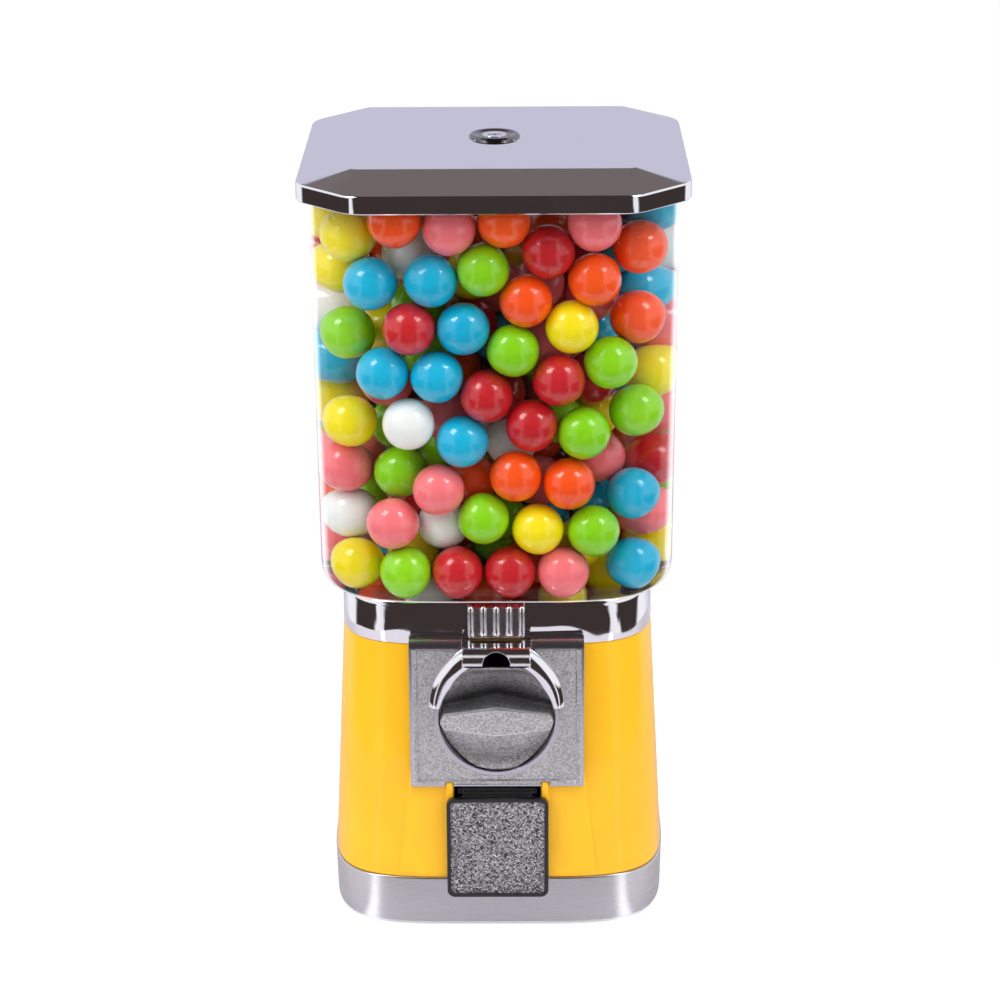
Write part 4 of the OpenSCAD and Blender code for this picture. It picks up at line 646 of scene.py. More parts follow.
# %% Knob
KNOB_RADIUS, KNOB_FRONT, KNOB_BACK = 28.9, -87.2, -80.0
GRIP_FRONT, GRIP_EASE = -93.5, 0.3
GRIP_HALF = (28.4, 7.6)
TIP_SLOPE, SHOULDER_SLOPE = 0.13, 0.496
FLARE, FLANK_POWER = 4.6, 2.4
SCOOP_RADIUS, SCOOP_OFF, SCOOP_Y = 16.0, 14.6, -98.0
# the last count is of the rows over which the painted shade fades across the upper scoop
FACE_ROWS, FLANK_ROWS, SCOOP_ROWS, SHADE_ROWS = 4, 13, 15, 9
knob_angle = np.radians(np.arange(0, 360, 3.0))
knob_round = np.stack([np.cos(knob_angle), np.sin(knob_angle)], axis=1)


def hexagon(grow):
    """The grip's outline: along each direction, the nearer of the side from the tip to the shoulder
    and the side from the shoulder to the middle, kept inside the disc."""
    c, t = np.abs(knob_round).T
    reach = 1 / np.maximum(c + TIP_SLOPE * t, SHOULDER_SLOPE * c + t)
    line = knob_round * reach[:, None] * [GRIP_HALF[0] + grow / 4, GRIP_HALF[1] + grow]
    far = np.linalg.norm(line, axis=1)[:, None]
    return line * np.minimum(1, (KNOB_RADIUS - 0.7) / far)


def scooped(line):
    """Depth of the disc's face: its flat front, or the hollow of a scoop, which is part of a circle."""
    off = np.abs(line[:, 1]) - SCOOP_OFF
    return np.maximum(KNOB_FRONT, SCOOP_Y + np.sqrt(np.maximum(0, SCOOP_RADIUS ** 2 - off ** 2)))


def knob_painted_shade(row):
    """Painted shade at each point, from its row: it grows down the upper flank and fades across the scoop,
    and it lies thick on the lower flank. The grip's face has none."""
    scoop_row = FACE_ROWS + FLANK_ROWS
    rising = np.clip((row - FACE_ROWS) / 10, 0, 1)
    leaving = np.clip((scoop_row + SHADE_ROWS - row) / SHADE_ROWS, 0, 1)
    above = np.resize(np.sin(knob_angle) > 0, row.shape)
    below = np.where(row < scoop_row, 0.95, 0.12)
    return np.where(row < FACE_ROWS, 0, np.where(above, 0.25 + (0.25 + 0.5 * rising ** 2) * leaving, below))


def knob_skin(name):
    """Rows: the grip's face and eased edge, its flank falling as 1 - (1 - t)^2.4, the scoops, the
    disc's eased rim, its side and its back."""
    levels = [(hexagon(-1.1), GRIP_FRONT), (hexagon(-0.8), GRIP_FRONT), (hexagon(-0.2), GRIP_FRONT + 0.05),
              (hexagon(0), GRIP_FRONT + GRIP_EASE)]
    for t in np.linspace(0, 1, FLANK_ROWS + 1)[1:]:
        line = hexagon(FLARE * t)
        fall = 1 - (1 - t) ** FLANK_POWER
        levels.append((line, GRIP_FRONT + GRIP_EASE + (scooped(line) - GRIP_FRONT - GRIP_EASE) * fall))
    foot, rim = hexagon(FLARE), knob_round * (KNOB_RADIUS - 0.4)
    for t in np.linspace(0, 1, SCOOP_ROWS + 1)[1:]:
        line = foot + t * (rim - foot)
        levels.append((line, scooped(line)))
    side = knob_round * KNOB_RADIUS
    levels += [(knob_round * (KNOB_RADIUS - 0.12), scooped(rim) + 0.12), (side, scooped(rim) + 0.4),
               (side, KNOB_BACK - 0.3), (rim, KNOB_BACK)]
    grid = np.array([np.stack([line[:, 0], y + 0 * side[:, 0], SHAFT_Z + line[:, 1]], axis=1)
                     for line, y in levels])
    made = tube(name, grid, 40, False)
    row = np.repeat(np.arange(len(levels)), len(side))
    # the edge rows become a painted highlight in the finish, and the second value is painted shade
    for label, value in (("edge", np.isin(row, (1, 2, 3)).astype(float)), ("painted_shade", knob_painted_shade(row))):
        made.data.attributes.new(label, "FLOAT", "POINT").data.foreach_set("value", value)
    return made


knob = knob_skin("knob_skin")
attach(knob, "handle")
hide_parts("handle")
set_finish(knob, "grained_chrome")

# %% [markdown]
# The hood's crescent is a half ring with a rounded front. Its inner edge is cut by the knob's bore,
# whose middle is lower, so the ring is broad at its top and narrow at its ends.

# %% Crescent of the hood
HOOD_Z, HOOD_RADIUS, HOOD_FRONT, HOOD_BACK = 125.196, 34.72, -93.12, -84.9
HOOD_TOP = 157.2
SHOULDER_RADIUS, SHOULDER_Y = 29.6, -87.2
BORE_RADIUS, BORE_DROP, BORE_LEAST = 29.55, 7.4, 25.55
BORE_EASE = 0.8


def crescent_skin(name):
    """At each angle a closed profile of [distance from the hood's middle, y]: upright outer side, a
    quarter of an ellipse, the flat front, a rounded inner edge and the inner side, which stands where
    the line at this angle meets the lower bore's circle."""
    angle = np.radians(np.linspace(0, 180, 91))[:, None]
    low = BORE_DROP * np.sin(angle)
    bore = np.maximum(BORE_LEAST, -low + np.sqrt(low ** 2 + BORE_RADIUS ** 2 - BORE_DROP ** 2))
    a = np.linspace(0, np.pi / 2, 14)
    outside = np.concatenate([[HOOD_RADIUS], SHOULDER_RADIUS + (HOOD_RADIUS - SHOULDER_RADIUS) * np.cos(a)])
    away = np.hstack([outside + 0 * angle, bore + BORE_EASE * (1 - np.sin(a[::3])), bore])
    y = np.concatenate([[HOOD_BACK], SHOULDER_Y + (HOOD_FRONT - SHOULDER_Y) * np.sin(a),
                        HOOD_FRONT + BORE_EASE * (1 - np.cos(a[::3])), [HOOD_BACK]])
    z = np.minimum(HOOD_Z + away * np.sin(angle), HOOD_TOP)
    return tube(name, np.dstack([away * np.cos(angle), y + 0 * away, z]), 40, False)


crescent = crescent_skin("crescent_skin")
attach(crescent, "base")
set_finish(crescent, "bright_chrome")

# %% [markdown]
# The door's rim is moulded with a barrel for its pin. Three fine ribs run along the barrel, one above
# the other, and each catches a line of light.

# %% Ribs on the door's hinge
HINGE_Z = 75.996
HINGE_HALF = 18.5
RIB_SECTION = np.array([0.7, 0.6])
LOWEST_RIB, RIB_SPREAD = np.array([-87.9, HINGE_Z - 2.2]), np.array([2.1, 3.4])
rib_feet = [LOWEST_RIB + RIB_SPREAD * t for t in (0.05, 0.5, 0.95)]
hinge_ribs = joined("hinge_ribs", [
    eased_box("hinge_rib", [-HINGE_HALF, *at], [HINGE_HALF, *(at + RIB_SECTION)], 0.15) for at in rib_feet])
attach(hinge_ribs, "chute_door")
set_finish(hinge_ribs, "black_plastic")

# %% [markdown]
# ## Gumballs
# The heap was settled in the CAD, where each ball is an exact sphere. Each is shown here as a ball of
# few faces that a Subdivision Surface modifier rounds, turned its own way, with a colour tone and a
# little unevenness of its own, because a sugar shell is poured in a drum and never quite perfect.

# %% Gumballs
FLAVOURS = ("red", "orange", "yellow", "green", "blue", "pink", "white")
BALL_RADIUS = 12.7
BALL_SIDES = 3
# two rounds of subdivision draw a ball in to this share of its radius, so it starts that much larger
BALL_SHRINK = 0.908
BALL_UNEVEN = 0.012
chance = np.random.default_rng(21)


def ball_centres(node):
    """The balls of a node have equal meshes, one after the other. The smallest equal share of the
    points whose every box is one ball wide gives the balls, and each box's middle is a centre."""
    flat = np.empty(len(node.data.vertices) * 3)
    node.data.vertices.foreach_get("co", flat)
    p = flat.reshape(-1, 3) / MM
    for size in range(60, len(p) + 1):
        if len(p) % size == 0:
            parts = p.reshape(-1, size, 3)
            low, high = parts.min(axis=1), parts.max(axis=1)
            if np.abs(high - low - 2 * BALL_RADIUS).max() < 0.3:
                return (low + high) / 2
    raise ValueError("no balls in " + node.name)


def base_ball():
    """A cube whose sides are cut in three each way, with every point moved out to the unit sphere.
    The cut lines stand at equal angles, so all faces come out nearly alike. A side's axes are rolled
    on, or its signs changed, to get the other sides, and the points that sides share are made one."""
    t = np.tan(np.linspace(-np.pi / 4, np.pi / 4, BALL_SIDES + 1))
    u, v = np.meshgrid(t, t)
    side = np.dstack([u, v, np.ones_like(u)]).reshape(-1, 3)
    side /= np.linalg.norm(side, axis=1)[:, None]
    face = grid_faces(BALL_SIDES + 1, BALL_SIDES + 1, False, False)
    turns = [(k, sign) for k in range(3) for sign in (1, -1)]
    points = np.concatenate([np.roll(side, k, axis=1) * sign for k, sign in turns])
    faces = np.concatenate([face[:, ::sign] + n * len(side) for n, (_, sign) in enumerate(turns)])
    _, first, same = np.unique(np.round(points, 6), axis=0, return_index=True, return_inverse=True)
    return points[first], same.reshape(-1)[faces]


def turned_any_way(count):
    """Rotations spread evenly over all turns: orthogonal matrices from random normal ones."""
    q, r = np.linalg.qr(chance.normal(size=(count, 3, 3)))
    q = q * np.sign(np.einsum("nii->ni", r))[:, None]
    q[:, :, 0] *= np.sign(np.linalg.det(q))[:, None]
    return q


BALL_POINTS, BALL_FACES = base_ball()


def ball_heap(flavour):
    """All balls of one flavour as one mesh, with a tone for each ball in a point attribute."""
    node = NODES["gumballs_" + flavour]
    centres = ball_centres(node)
    count = len(centres)
    uneven = 1 - BALL_UNEVEN * chance.random((count, 1, 3))
    shaped = (BALL_POINTS[None] * uneven) @ turned_any_way(count)
    points = centres[:, None] + shaped * BALL_RADIUS / BALL_SHRINK
    faces = BALL_FACES[None] + (np.arange(count) * len(BALL_POINTS))[:, None, None]
    heap = make_mesh("balls_" + flavour, points.reshape(-1, 3), faces.reshape(-1, 4), 180)
    tone = heap.data.attributes.new("tone", "FLOAT", "POINT")
    tone.data.foreach_set("value", np.repeat(chance.random(count), len(BALL_POINTS)))
    change = heap.modifiers.new("rounding", "SUBSURF")
    change.levels = change.render_levels = 2
    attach(heap, "base")
    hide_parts(node.name)
    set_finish(heap, node.name)
    return heap


heaps = [ball_heap(flavour) for flavour in FLAVOURS]
measured = heaps[0].evaluated_get(bpy.context.evaluated_depsgraph_get())
low, high = np.min(measured.bound_box, axis=0), np.max(measured.bound_box, axis=0)
print("balls:", sum(len(h.data.vertices) for h in heaps) // len(BALL_POINTS), "red box", low, high)

# %% [markdown]
# ## Floor
# The floor is a pale round table top, about as wide as two machines are tall. It is white enough to
# meet the white background without an edge, and still takes the soft shadow under the ring.

# %% Floor
FLOOR_RADIUS = 400.0


def disc(name, radius, rings=6, steps=96):
    """A flat disc: rings of points at radius times the square root of their share, about a middle."""
    share = np.sqrt(np.linspace(1 / rings, 1, rings))[:, None]
    angle = np.linspace(0, 2 * np.pi, steps, endpoint=False)
    grid = radius * np.dstack([share * np.cos(angle), share * np.sin(angle), 0 * share * angle])
    points = np.concatenate([grid.reshape(-1, 3), [[0, 0, 0]]])
    faces = [list(f[::-1]) for f in grid_faces(rings, steps, False, True)]
    faces += [[rings * steps, k, (k + 1) % steps] for k in range(steps)]
    mesh = bpy.data.meshes.new(name)
    mesh.from_pydata((points * MM).tolist(), [], faces)
    return add_object(name, mesh)


table_top = disc("floor", FLOOR_RADIUS)
table_top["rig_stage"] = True
print("floor radius in mm:", FLOOR_RADIUS)

# %% [markdown]
# ## Finishes
# A finish is a Principled BSDF whose even values are set on the shader itself, and whose uneven ones
# come from small groups: grain of the castings, brushing, wear at the edges, finger marks and dust.
# Each group is built once and gets its numbers from the material that it is placed in.

# %% Shared groups


def open_group(name, inputs):
    """Starts a shader group with named inputs, vectors where no number is given."""
    tree = bpy.data.node_groups.new(name, "ShaderNodeTree")
    for label, value in inputs.items():
        kind = "NodeSocketVector" if value is None else "NodeSocketFloat"
        socket = tree.interface.new_socket(label, in_out="INPUT", socket_type=kind)
        if value is not None:
            socket.default_value = value
    return Nodes(tree), tree.nodes.new("NodeGroupInput").outputs


def close_group(made, results):
    """Names the group's outputs and links the results to them."""
    end = made.tree.nodes.new("NodeGroupOutput")
    for label, result in results.items():
        kind = "NodeSocketVector" if result.type == "VECTOR" else "NodeSocketFloat"
        made.tree.interface.new_socket(label, in_out="OUTPUT", socket_type=kind)
        made.fill(end.inputs[label], result)
    print(made.tree.name, "has", len(made.tree.nodes), "nodes")
    return made.tree


made, given = open_group("cast_grain", {"Vector": None, "Cells per metre": 2000.0, "Sharpness": 0.5})
cells = made.put("TexVoronoi", {"Vector": given[0], "Scale": given[1], "Randomness": 1.0}).outputs
fine = made.noise(given[0], made.times(given[1], 1.7), 1.0)
hills = made.calc("ADD", made.times(cells["Distance"], given[2]), fine)
fleck = made.put("SeparateColor", {"Color": cells["Color"]}).outputs[0]
CAST_GRAIN = close_group(made, {"Height": hills, "Fleck": fleck})

made, given = open_group("edge_wear", {"Radius": 0.0004, "Vector": None})
rounded = made.put("Bevel", {"Radius": given[0]}, samples=4).outputs[0]
flat = made.put("NewGeometry").outputs["Normal"]
likeness = made.put("VectorMath", {0: rounded, 1: flat}, operation="DOT_PRODUCT").outputs["Value"]
worn = made.times(made.remap(likeness, 0.985, 0.80), made.remap(made.noise(given[1], 240), 0.35, 0.65))
EDGE_WEAR = close_group(made, {"Mask": worn, "Normal": rounded})

made, given = open_group("finger_marks", {"Vector": None, "Marks per metre": 22.0})
cloud = made.noise(given[0], given[1], 3.0, 0.6, 0.8)
streak = made.noise(given[0], made.times(given[1], 9.0), 2.0)
marks = made.times(made.remap(cloud, 0.48, 0.74), made.remap(streak, 0.3, 0.7, 0.4, 1.0))
FINGER_MARKS = close_group(made, {"Mask": marks})

made, given = open_group("brushing", {"Along": 0.0, "Across": 0.0, "Lines per metre": 5000.0})
lane = made.times(given[1], given[2])
place = made.put("CombineXYZ", {"X": made.times(given[0], 45.0), "Y": lane}).outputs[0]
BRUSHING = close_group(made, {"Height": made.noise(place, 1.0, 2.0, 0.6)})

made, given = open_group("settled_dust", {"Vector": None, "Amount": 0.1})
_, _, upward = made.axes(made.put("NewGeometry").outputs["Normal"])
layer = made.times(made.remap(upward, 0.6, 1.0), made.remap(made.noise(given[0], 60, 4.0, 0.65), 0.35, 0.75))
SETTLED_DUST = close_group(made, {"Mask": made.times(layer, given[1])})

# %% Helpers for finishes
finishes = {}


class Finish(Nodes):
    """A material with a Principled BSDF, and short ways to feed it."""

    def __init__(self, name, **even):
        """Puts it on the list. Even values are given by socket name, with _ for a space."""
        finishes[name] = bpy.data.materials.new(name)
        finishes[name].use_nodes = True
        super().__init__(finishes[name].node_tree)
        self.tree.nodes.clear()
        self.shader = self.put("BsdfPrincipled")
        self.output = self.put("OutputMaterial", {"Surface": self.shader.outputs[0]})
        self.place = self.put("TexCoord").outputs["Object"]
        for label, value in even.items():
            self.feed(label.replace("_", " "), value)

    def feed(self, label, value):
        """Gives the shader's input a value."""
        self.fill(self.shader.inputs[label], value)

    def surface(self, shader):
        """Takes another shader for the surface."""
        self.fill(self.output.inputs["Surface"], shader.outputs[0])

    def group(self, group, **inputs):
        """Places a group; inputs are given by name, with _ for a space."""
        n = self.put("Group", node_tree=group)
        for label, value in {"Vector": self.place, **inputs}.items():
            label = label.replace("_", " ")
            if label in n.inputs:
                self.fill(n.inputs[label], value)
        return n.outputs

    def bump(self, height, distance, strength=1.0, base=None):
        """Feeds the Normal with a Bump of this height, over another normal if there is one."""
        n = self.put("Bump", {"Height": height, "Distance": distance, "Strength": strength})
        if base is not None:
            self.fill(n.inputs["Normal"], base)
        self.feed("Normal", n.outputs[0])


print("groups:", [g.name for g in bpy.data.node_groups])

# %% [markdown]
# ### Yellow paint
# The shell is powder-coated: an even, strong yellow under a glossy skin with a faint orange-peel wave.
# The coat layer gives the sharp shine and the layer under it a wide, soft one.

# %% Yellow paint
paint = Finish("yellow_paint", Coat_Weight=0.35, Coat_Roughness=0.06, Specular_IOR_Level=0.3)
thick = paint.remap(paint.noise(paint.place, 30, 3.0), 0.3, 0.7)
paint.feed("Base Color", paint.blend(thick, (0.95, 0.490, 0.006), (1.0, 0.520, 0.008)))
paint.feed("Roughness", paint.remap(paint.group(FINGER_MARKS)["Mask"], 0, 1, 0.40, 0.52))
paint.bump(paint.noise(paint.place, 420, 1.0), 0.00006, 0.5)
print("paint nodes:", len(paint.tree.nodes))

# %% [markdown]
# ### Bright chrome
# Chrome is nearly a mirror. What makes it real is what disturbs the mirror: a slow waviness of the casting
# under the plating and faint finger marks that dull it in places. The collar's casting waves most and its
# ribs are duller. The lock is darkened all over, as painted shade for the dark gap round it and its dark
# keyway.

# %% Bright chrome
CHROME = (0.88, 0.87, 0.90)


def chrome(name, colour, wave, dullness, edge):
    """Mirror plating with waviness, finger marks and eased edges."""
    made = Finish(name, Metallic=1.0, Base_Color=colour)
    marks = made.group(FINGER_MARKS, Marks_per_metre=30.0)["Mask"]
    made.feed("Roughness", made.remap(marks, 0, 1, dullness, dullness + 0.09))
    eased_edge = made.group(EDGE_WEAR, Radius=edge)["Normal"] if edge else None
    made.bump(made.noise(made.place, 34, 1.0), wave, 1.0, eased_edge)


chrome("bright_chrome", CHROME, 0.0006, 0.045, 0.0004)
chrome("collar_skin", CHROME, 0.0014, 0.04, 0.0004)
chrome("collar_ribs", CHROME, 0.0002, 0.20, 0.0004)
# the lock's dark colour is painted shade, for the gap round it and its keyway
chrome("lock_body", (0.20, 0.19, 0.21), 0.0004, 0.12, 0.0003)
chrome("lid_enamel", (0.86, 0.85, 0.90), 0.00025, 0.05, 0)
print("finishes so far:", list(finishes))

# %% [markdown]
# ### Grained chrome
# The castings have a pebbled grain that hides scratches. Each little cell has its own slope, so each
# mirrors another part of the room: bump alone gives that sparkle, and the cells' hollows are duller.
# Masks worked out from the place on the piece keep the borders bright.

# %% Grained chrome
SATIN_BARE = ((0.60, 0.59, 0.65), 0.22)
NOTCH_Z, NOTCH_RADIUS = 0.1504, 0.0069
# black that is painted in as shade, at the knob's grip and in the thumb notch
PAINTED_SHADE_BLACK = (0.016, 0.014, 0.014)


def grained(name, grain, tones, shine, mask_of=None, edge=0.0005, bare=(CHROME, 0.05), shade_of=None):
    """Pebbled plating: grain is (cells per metre, depth), tones are (light, dark). mask_of makes a mask of
    the grain, bare is the tone and dullness outside it, and the last argument makes a mask where shade is
    painted in black."""
    made = Finish(name, Metallic=1.0)
    cells = made.group(CAST_GRAIN, Cells_per_metre=grain[0], Sharpness=0.8)
    eased_edge = made.group(EDGE_WEAR, Radius=edge)["Normal"]
    height, fleck = cells["Height"], cells["Fleck"]
    tone = made.blend(fleck, grey(tones[1]), grey(tones[0]))
    rough = made.remap(fleck, 0, 1, shine + 0.12, shine)
    if mask_of:
        mask = mask_of(made)
        height = made.times(height, mask)
        tone = made.blend(mask, bare[0], tone)
        rough = made.remap(mask, 0, 1, bare[1], shine + 0.06, mode="LINEAR")
    # shade painted in black where this mask is
    if shade_of:
        tone = made.blend(shade_of(made), tone, PAINTED_SHADE_BLACK)
    made.feed("Base Color", tone)
    made.feed("Roughness", rough)
    made.bump(height, grain[1], 1.0, eased_edge)


def axis_distance(made, height):
    """Distance from the line that runs from front to back at this height."""
    x, _, z = made.axes(made.place)
    across = made.put("CombineXYZ", {"X": x, "Y": made.calc("SUBTRACT", z, height)}).outputs[0]
    return made.put("VectorMath", {0: across}, operation="LENGTH").outputs["Value"]


def front_facing(made, low, high):
    """How much the surface faces the front, from its own normal."""
    return made.remap(made.axes(made.put("TexCoord").outputs["Normal"])["Y"], low, high)


def field_mask(made):
    """The face plate is grained but for its outer border, its top and the ring round the knob."""
    x, _, z = made.axes(made.place)
    inside = made.times(made.band(x, -0.0421, 0.0421, 0.0003),
                        made.band(z, (FACE_BOTTOM + 1.6) * MM, (FACE_TOP - 4.9) * MM, 0.0003))
    return made.times(inside, made.remap(axis_distance(made, SHAFT_Z * MM), 0.0314, 0.0318))


def hood_mask(made):
    """The hood's flat back plate is grained; the coin block before it is bright."""
    behind = made.remap(made.axes(made.place)["Y"], (FACE_Y + 0.1) * MM, (FACE_Y + 0.4) * MM)
    return made.times(behind, front_facing(made, -0.6, -0.9))


def notch_shade_mask(made):
    """Painted shade in the recess of the thumb notch, in the block's lower edge."""
    near = made.remap(axis_distance(made, NOTCH_Z), NOTCH_RADIUS + 0.0003, NOTCH_RADIUS - 0.0003)
    return made.times(near, made.remap(made.axes(made.place)["Y"], -0.0864, -0.0870))


PEBBLES = (1500, 0.00022), (0.94, 0.50), 0.26
grained("face_plate", *PEBBLES, field_mask, 0.0006, SATIN_BARE)
grained("coin_hood", *PEBBLES, hood_mask, 0.0012, shade_of=notch_shade_mask)
grained("grained_chrome", (1250, 0.00060), (0.76, 0.03), 0.20)
print("finishes so far:", len(finishes))

# %% [markdown]
# The knob carries two values at its points, which were worked out with its shape: the grip's edge, left bare
# and pale as a painted highlight, and the painted shade at the grip's root and under the grip.

# %% Knob's finish


def knob_mask(made):
    """The face of the knob is grained; its rim and its side are bare, and so is the grip's edge, which is
    pale as a painted highlight.
    """
    inside = made.remap(axis_distance(made, SHAFT_Z * MM), (KNOB_RADIUS - 0.3) * MM, (KNOB_RADIUS - 0.6) * MM)
    unworn = made.calc("SUBTRACT", 1.0, made.attribute("edge"))
    return made.times(inside, front_facing(made, -0.02, -0.08), unworn)


def root_shade_mask(made):
    """Painted shade where the grip's flank meets the upper scoop, and in a line under the grip."""
    return made.times(made.attribute("painted_shade"), 0.93)


# bare tone of the knob's rim and side, and of the grip's edge, where it is a painted highlight
KNOB_BARE_AND_HIGHLIGHT = ((0.92, 0.91, 0.94), 0.3)
grained("knob_skin", (1400, 0.00030), (1.0, 0.52), 0.22, knob_mask, 0.0004, KNOB_BARE_AND_HIGHLIGHT, root_shade_mask)
print("finishes so far:", len(finishes))

# %% [markdown]
# ### Satin steel
# The base ring is brushed lengthwise, round the machine. Brushing spreads a reflection across its
# lines, which is why the ring shows upright streaks where it bends.

# %% Satin steel
RING_METRES = RING_HALF * MM
satin = Finish("satin_steel", Metallic=1.0, Anisotropic=0.95, Anisotropic_Rotation=0.25)
x, y, z = satin.axes(satin.place)
along = satin.times(satin.calc("ARCTAN2", y, x), RING_METRES)
lines = satin.group(BRUSHING, Along=along, Across=z)["Height"]
satin.feed("Base Color", satin.blend(lines, (0.60, 0.60, 0.63), (0.74, 0.74, 0.77)))
satin.feed("Roughness", satin.remap(lines, 0.3, 0.7, 0.26, 0.34))
satin.feed("Tangent", satin.put("Tangent", direction_type="RADIAL", axis="Z").outputs[0])
satin.bump(lines, 0.00004, 0.6)
print("steel nodes:", len(satin.tree.nodes))

# %% [markdown]
# ### Clear plastic
# The hopper is clear, with a real wall. Refraction shows its rim and its rounded foot. Light that falls on
# the balls goes straight through, as it nearly does in so thin a wall: rays that only carry light or shadow
# meet a transparent surface. Where the wall is seen almost edge-on, a pale veil is painted on it as a glow,
# and nearer to edge-on still its colour is a painted grey-lavender line of reflection.

# %% Clear plastic
clear = Finish("clear_plastic", Transmission_Weight=1.0, IOR=1.12, Coat_Weight=0.35, Coat_Roughness=0.02,
               Emission_Strength=1.0)
clear.feed("Roughness", clear.remap(clear.group(FINGER_MARKS, Marks_per_metre=14.0)["Mask"], 0, 1, 0.0, 0.05))
clear.bump(clear.noise(clear.place, 11, 1.0), 0.0006)
# painted light where the wall is seen edge-on: a glow a little in from its outline, and along it a
# grey-lavender tint that is a painted reflection
edge_on = clear.put("LayerWeight", {"Blend": 0.5}).outputs["Facing"]
painted_rim_line = clear.remap(edge_on, 0.84, 0.95)
painted_glow_veil = clear.calc("SUBTRACT", clear.remap(edge_on, 0.60, 0.84), painted_rim_line)
clear.feed("Base Color", clear.blend(painted_rim_line, (0.985, 0.99, 0.99), (0.62, 0.62, 0.70)))
clear.feed("Emission Color", clear.blend(painted_glow_veil, grey(0), (0.80, 0.80, 0.84)))
path = clear.put("LightPath").outputs
bounced = clear.calc("MAXIMUM", path["Is Diffuse Ray"], path["Is Glossy Ray"])
passing = clear.calc("MAXIMUM", path["Is Shadow Ray"], bounced)
through = clear.put("BsdfTransparent", {"Color": (0.96, 0.965, 0.965)}).outputs[0]
clear.surface(clear.put("MixShader", {0: passing, 1: clear.shader.outputs[0], 2: through}))
print("plastic nodes:", len(clear.tree.nodes))

# %% [markdown]
# ### Gumballs
# A gumball is a hard sugar shell with a thin wax polish: strong colour, a soft wide highlight and a
# small sharp one. No two balls of a flavour are quite the same, so each has its own tone.

# %% Sugar shells
SUGAR = {"red": ((0.50, 0.008, 0.014), (0.60, 0.014, 0.020)),
         "orange": ((0.92, 0.070, 0.002), (0.97, 0.095, 0.004)),
         "yellow": ((0.88, 0.70, 0.001), (0.95, 0.78, 0.003)),
         "green": ((0.21, 0.60, 0.002), (0.28, 0.68, 0.005)),
         "blue": ((0.001, 0.38, 0.62), (0.004, 0.45, 0.70)),
         "pink": ((0.88, 0.15, 0.17), (0.93, 0.19, 0.21)),
         "white": ((0.84, 0.85, 0.82), (0.90, 0.90, 0.88))}


def sugar_shell(name, tones):
    """Colour between two tones by the ball's own attribute and by a fine mottle."""
    made = Finish(name, Coat_Weight=1.0, Coat_Roughness=0.07, Specular_IOR_Level=0.3)
    mottle = made.remap(made.noise(made.place, 260, 3.0), 0.3, 0.7)
    share = made.calc("ADD", made.times(made.attribute("tone"), 0.7), made.times(mottle, 0.3))
    made.feed("Base Color", made.blend(share, *tones))
    made.feed("Roughness", made.remap(mottle, 0, 1, 0.33, 0.42))
    made.bump(made.noise(made.place, 500, 2.0), 0.000012, 0.6)


for flavour, tones in SUGAR.items():
    sugar_shell("gumballs_" + flavour, tones)
print("sugar shells:", len(SUGAR))

# %% [markdown]
# ### Plastics, rubber and small metal parts
# The hidden mechanism has the finishes such parts have: zinc-plated steel, raw die casting, brass,
# spring steel, and moulded plastics. They share the groups above.

# %% Small parts
DUST = (0.42, 0.40, 0.37)


def aged(made, body, worn, share, dust):
    """Feeds the colour: worn where the edges rub, with a little dust on top."""
    body = made.blend(share, body, np.minimum(1, worn))
    made.feed("Base Color", made.blend(made.group(SETTLED_DUST, Amount=dust)["Mask"], body, DUST))


def moulded(name, deep, pale, rough, grain_depth, cells_per_metre=2400, coat=0.0):
    """Moulded plastic or rubber with a fine grain and paler worn edges."""
    made = Finish(name, Coat_Weight=coat, Coat_Roughness=0.2)
    grain = made.group(CAST_GRAIN, Cells_per_metre=cells_per_metre, Sharpness=0.5)
    wear = made.group(EDGE_WEAR, Radius=0.0005)
    made.feed("Roughness", made.remap(grain["Fleck"], 0, 1, rough - 0.05, rough + 0.05))
    made.bump(grain["Height"], grain_depth, 0.6, wear["Normal"])
    worn = 2.2 * np.array(pale) + 0.02
    aged(made, made.blend(grain["Fleck"], deep, pale), worn, made.times(wear["Mask"], 0.35), 0.12)


def plated(name, deep, pale, rough, wave):
    """Plated or bare metal with a cloudy tone and edges polished by wear."""
    made = Finish(name, Metallic=1.0)
    cloud = made.remap(made.noise(made.place, 120, 4.0, 0.6), 0.3, 0.7)
    wear = made.group(EDGE_WEAR, Radius=0.0004)
    made.feed("Roughness", made.remap(cloud, 0, 1, rough - 0.06, rough + 0.08))
    made.bump(made.noise(made.place, 1500, 2.0), wave, 1.0, wear["Normal"])
    worn = 1.25 * np.array(pale)
    aged(made, made.blend(cloud, deep, pale), worn, made.times(wear["Mask"], 0.6), 0.08)


moulded("black_plastic", (0.004, 0.004, 0.005), (0.008, 0.008, 0.009), 0.34, 0.00005, coat=0.2)
moulded("rubber_black", grey(0.012), (0.022, 0.022, 0.021), 0.75, 0.00012)
moulded("wheel_plastic", (0.62, 0.60, 0.54), (0.68, 0.66, 0.60), 0.4, 0.00005)
moulded("pan_plastic", (0.10, 0.10, 0.11), (0.13, 0.13, 0.14), 0.42, 0.00006)
moulded("bristle", (0.02, 0.018, 0.015), (0.09, 0.08, 0.07), 0.7, 0.0006, 4200)
plated("zinc_plate", (0.50, 0.51, 0.53), (0.66, 0.67, 0.70), 0.30, 0.00002)
plated("die_cast", (0.36, 0.36, 0.37), (0.48, 0.48, 0.49), 0.46, 0.00008)
plated("brass", (0.62, 0.40, 0.12), (0.80, 0.56, 0.20), 0.28, 0.00002)
plated("spring_steel", (0.22, 0.24, 0.30), (0.40, 0.41, 0.46), 0.30, 0.00002)
plated("dark_steel", (0.12, 0.12, 0.13), (0.20, 0.20, 0.21), 0.48, 0.00006)
print("finishes:", len(finishes))

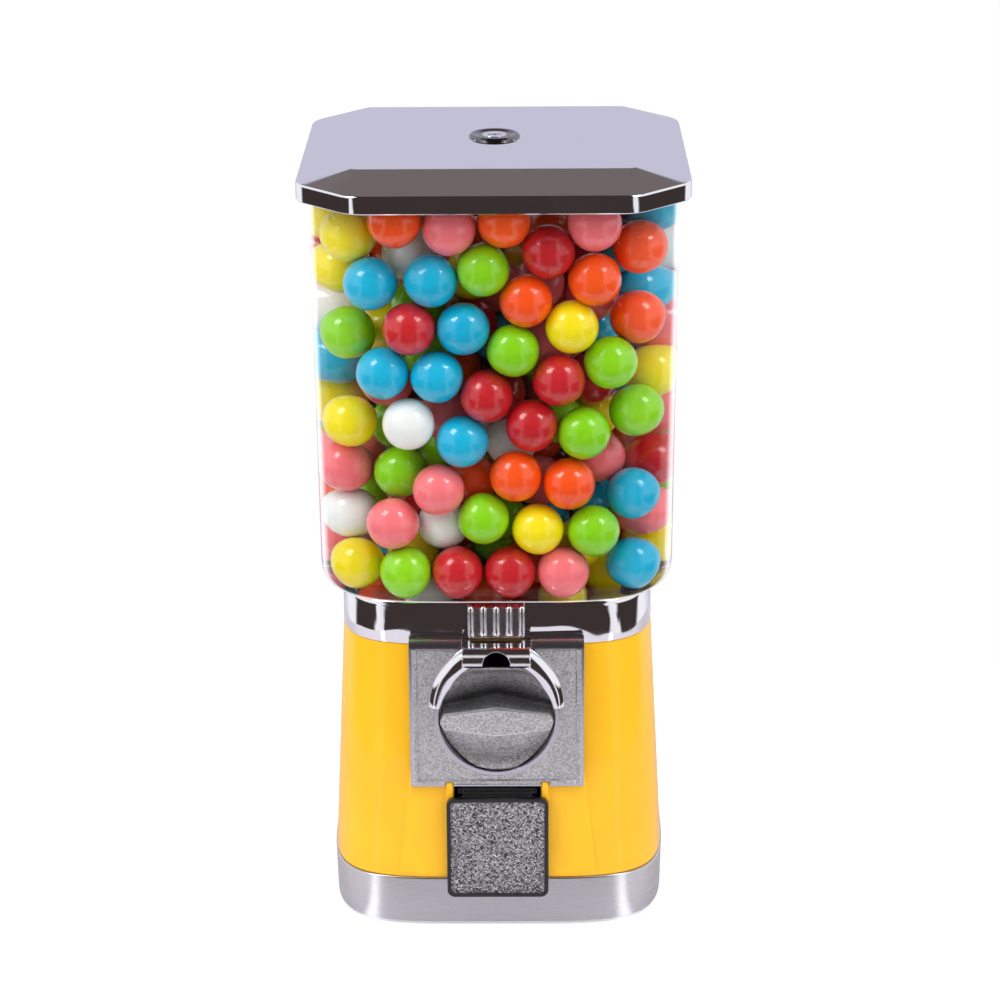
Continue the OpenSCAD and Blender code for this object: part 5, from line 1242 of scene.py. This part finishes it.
# %% [markdown]
# ### Table top
# The camera sees a nearly white table with a little light of its own, so that it meets the background.
# Polished metal sees it darker, but for one bright band to each side. Brushed steel spreads those
# bands into upright streaks near its corners.

# %% Floor finish
BAND_LOW, BAND_HIGH, BAND_SOFT, BAND_LIGHT = 0.78, 0.92, 0.05, 0.9
SEEN_LIGHT = 0.42
sweep = Finish("table_top", Roughness=0.7, Specular_IOR_Level=0.2)
path = sweep.put("LightPath").outputs
grit = sweep.remap(sweep.noise(sweep.place, 55, 3.0), 0.3, 0.7)
pale = sweep.blend(grit, grey(0.93), grey(0.95))
sweep.feed("Base Color", sweep.blend(path["Is Glossy Ray"], pale, (0.62, 0.60, 0.66)))
x, y, _ = sweep.axes(sweep.place)
in_front = sweep.calc("MAXIMUM", sweep.times(y, -1.0), 0.001)
slant = sweep.calc("DIVIDE", sweep.calc("ABSOLUTE", x), in_front)
bands = sweep.times(sweep.band(slant, BAND_LOW, BAND_HIGH, BAND_SOFT), BAND_LIGHT)
direct = sweep.calc("MAXIMUM", path["Is Camera Ray"], path["Is Transmission Ray"])
lift = sweep.calc("ADD", sweep.times(direct, SEEN_LIGHT), sweep.times(path["Is Glossy Ray"], bands))
glow = sweep.put("Emission", {"Color": grey(1.0), "Strength": lift}).outputs[0]
sweep.surface(sweep.put("AddShader", {0: sweep.shader.outputs[0], 1: glow}))
table_top.data.materials.append(finishes["table_top"])
print("table top nodes:", len(sweep.tree.nodes))

# %% [markdown]
# ## Dressing
# Every piece gets the finish that is named after it, or else the one of its slot. Colours are shown as
# written.

# %% Give every piece its finish


def finish_of(piece):
    """The finish's name: the piece's own, or its slot, which names a CAD piece's material."""
    if piece.name in finishes:
        return piece.name
    return piece.get("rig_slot") or piece.data.materials[0].name.split(".")[0]


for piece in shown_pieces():
    finish = finishes[finish_of(piece)]
    if piece.material_slots:
        for holder in piece.material_slots:
            holder.material = finish
    else:
        piece.data.materials.append(finish)

# %% Colour as written
bpy.context.scene.view_settings.view_transform = "Standard"
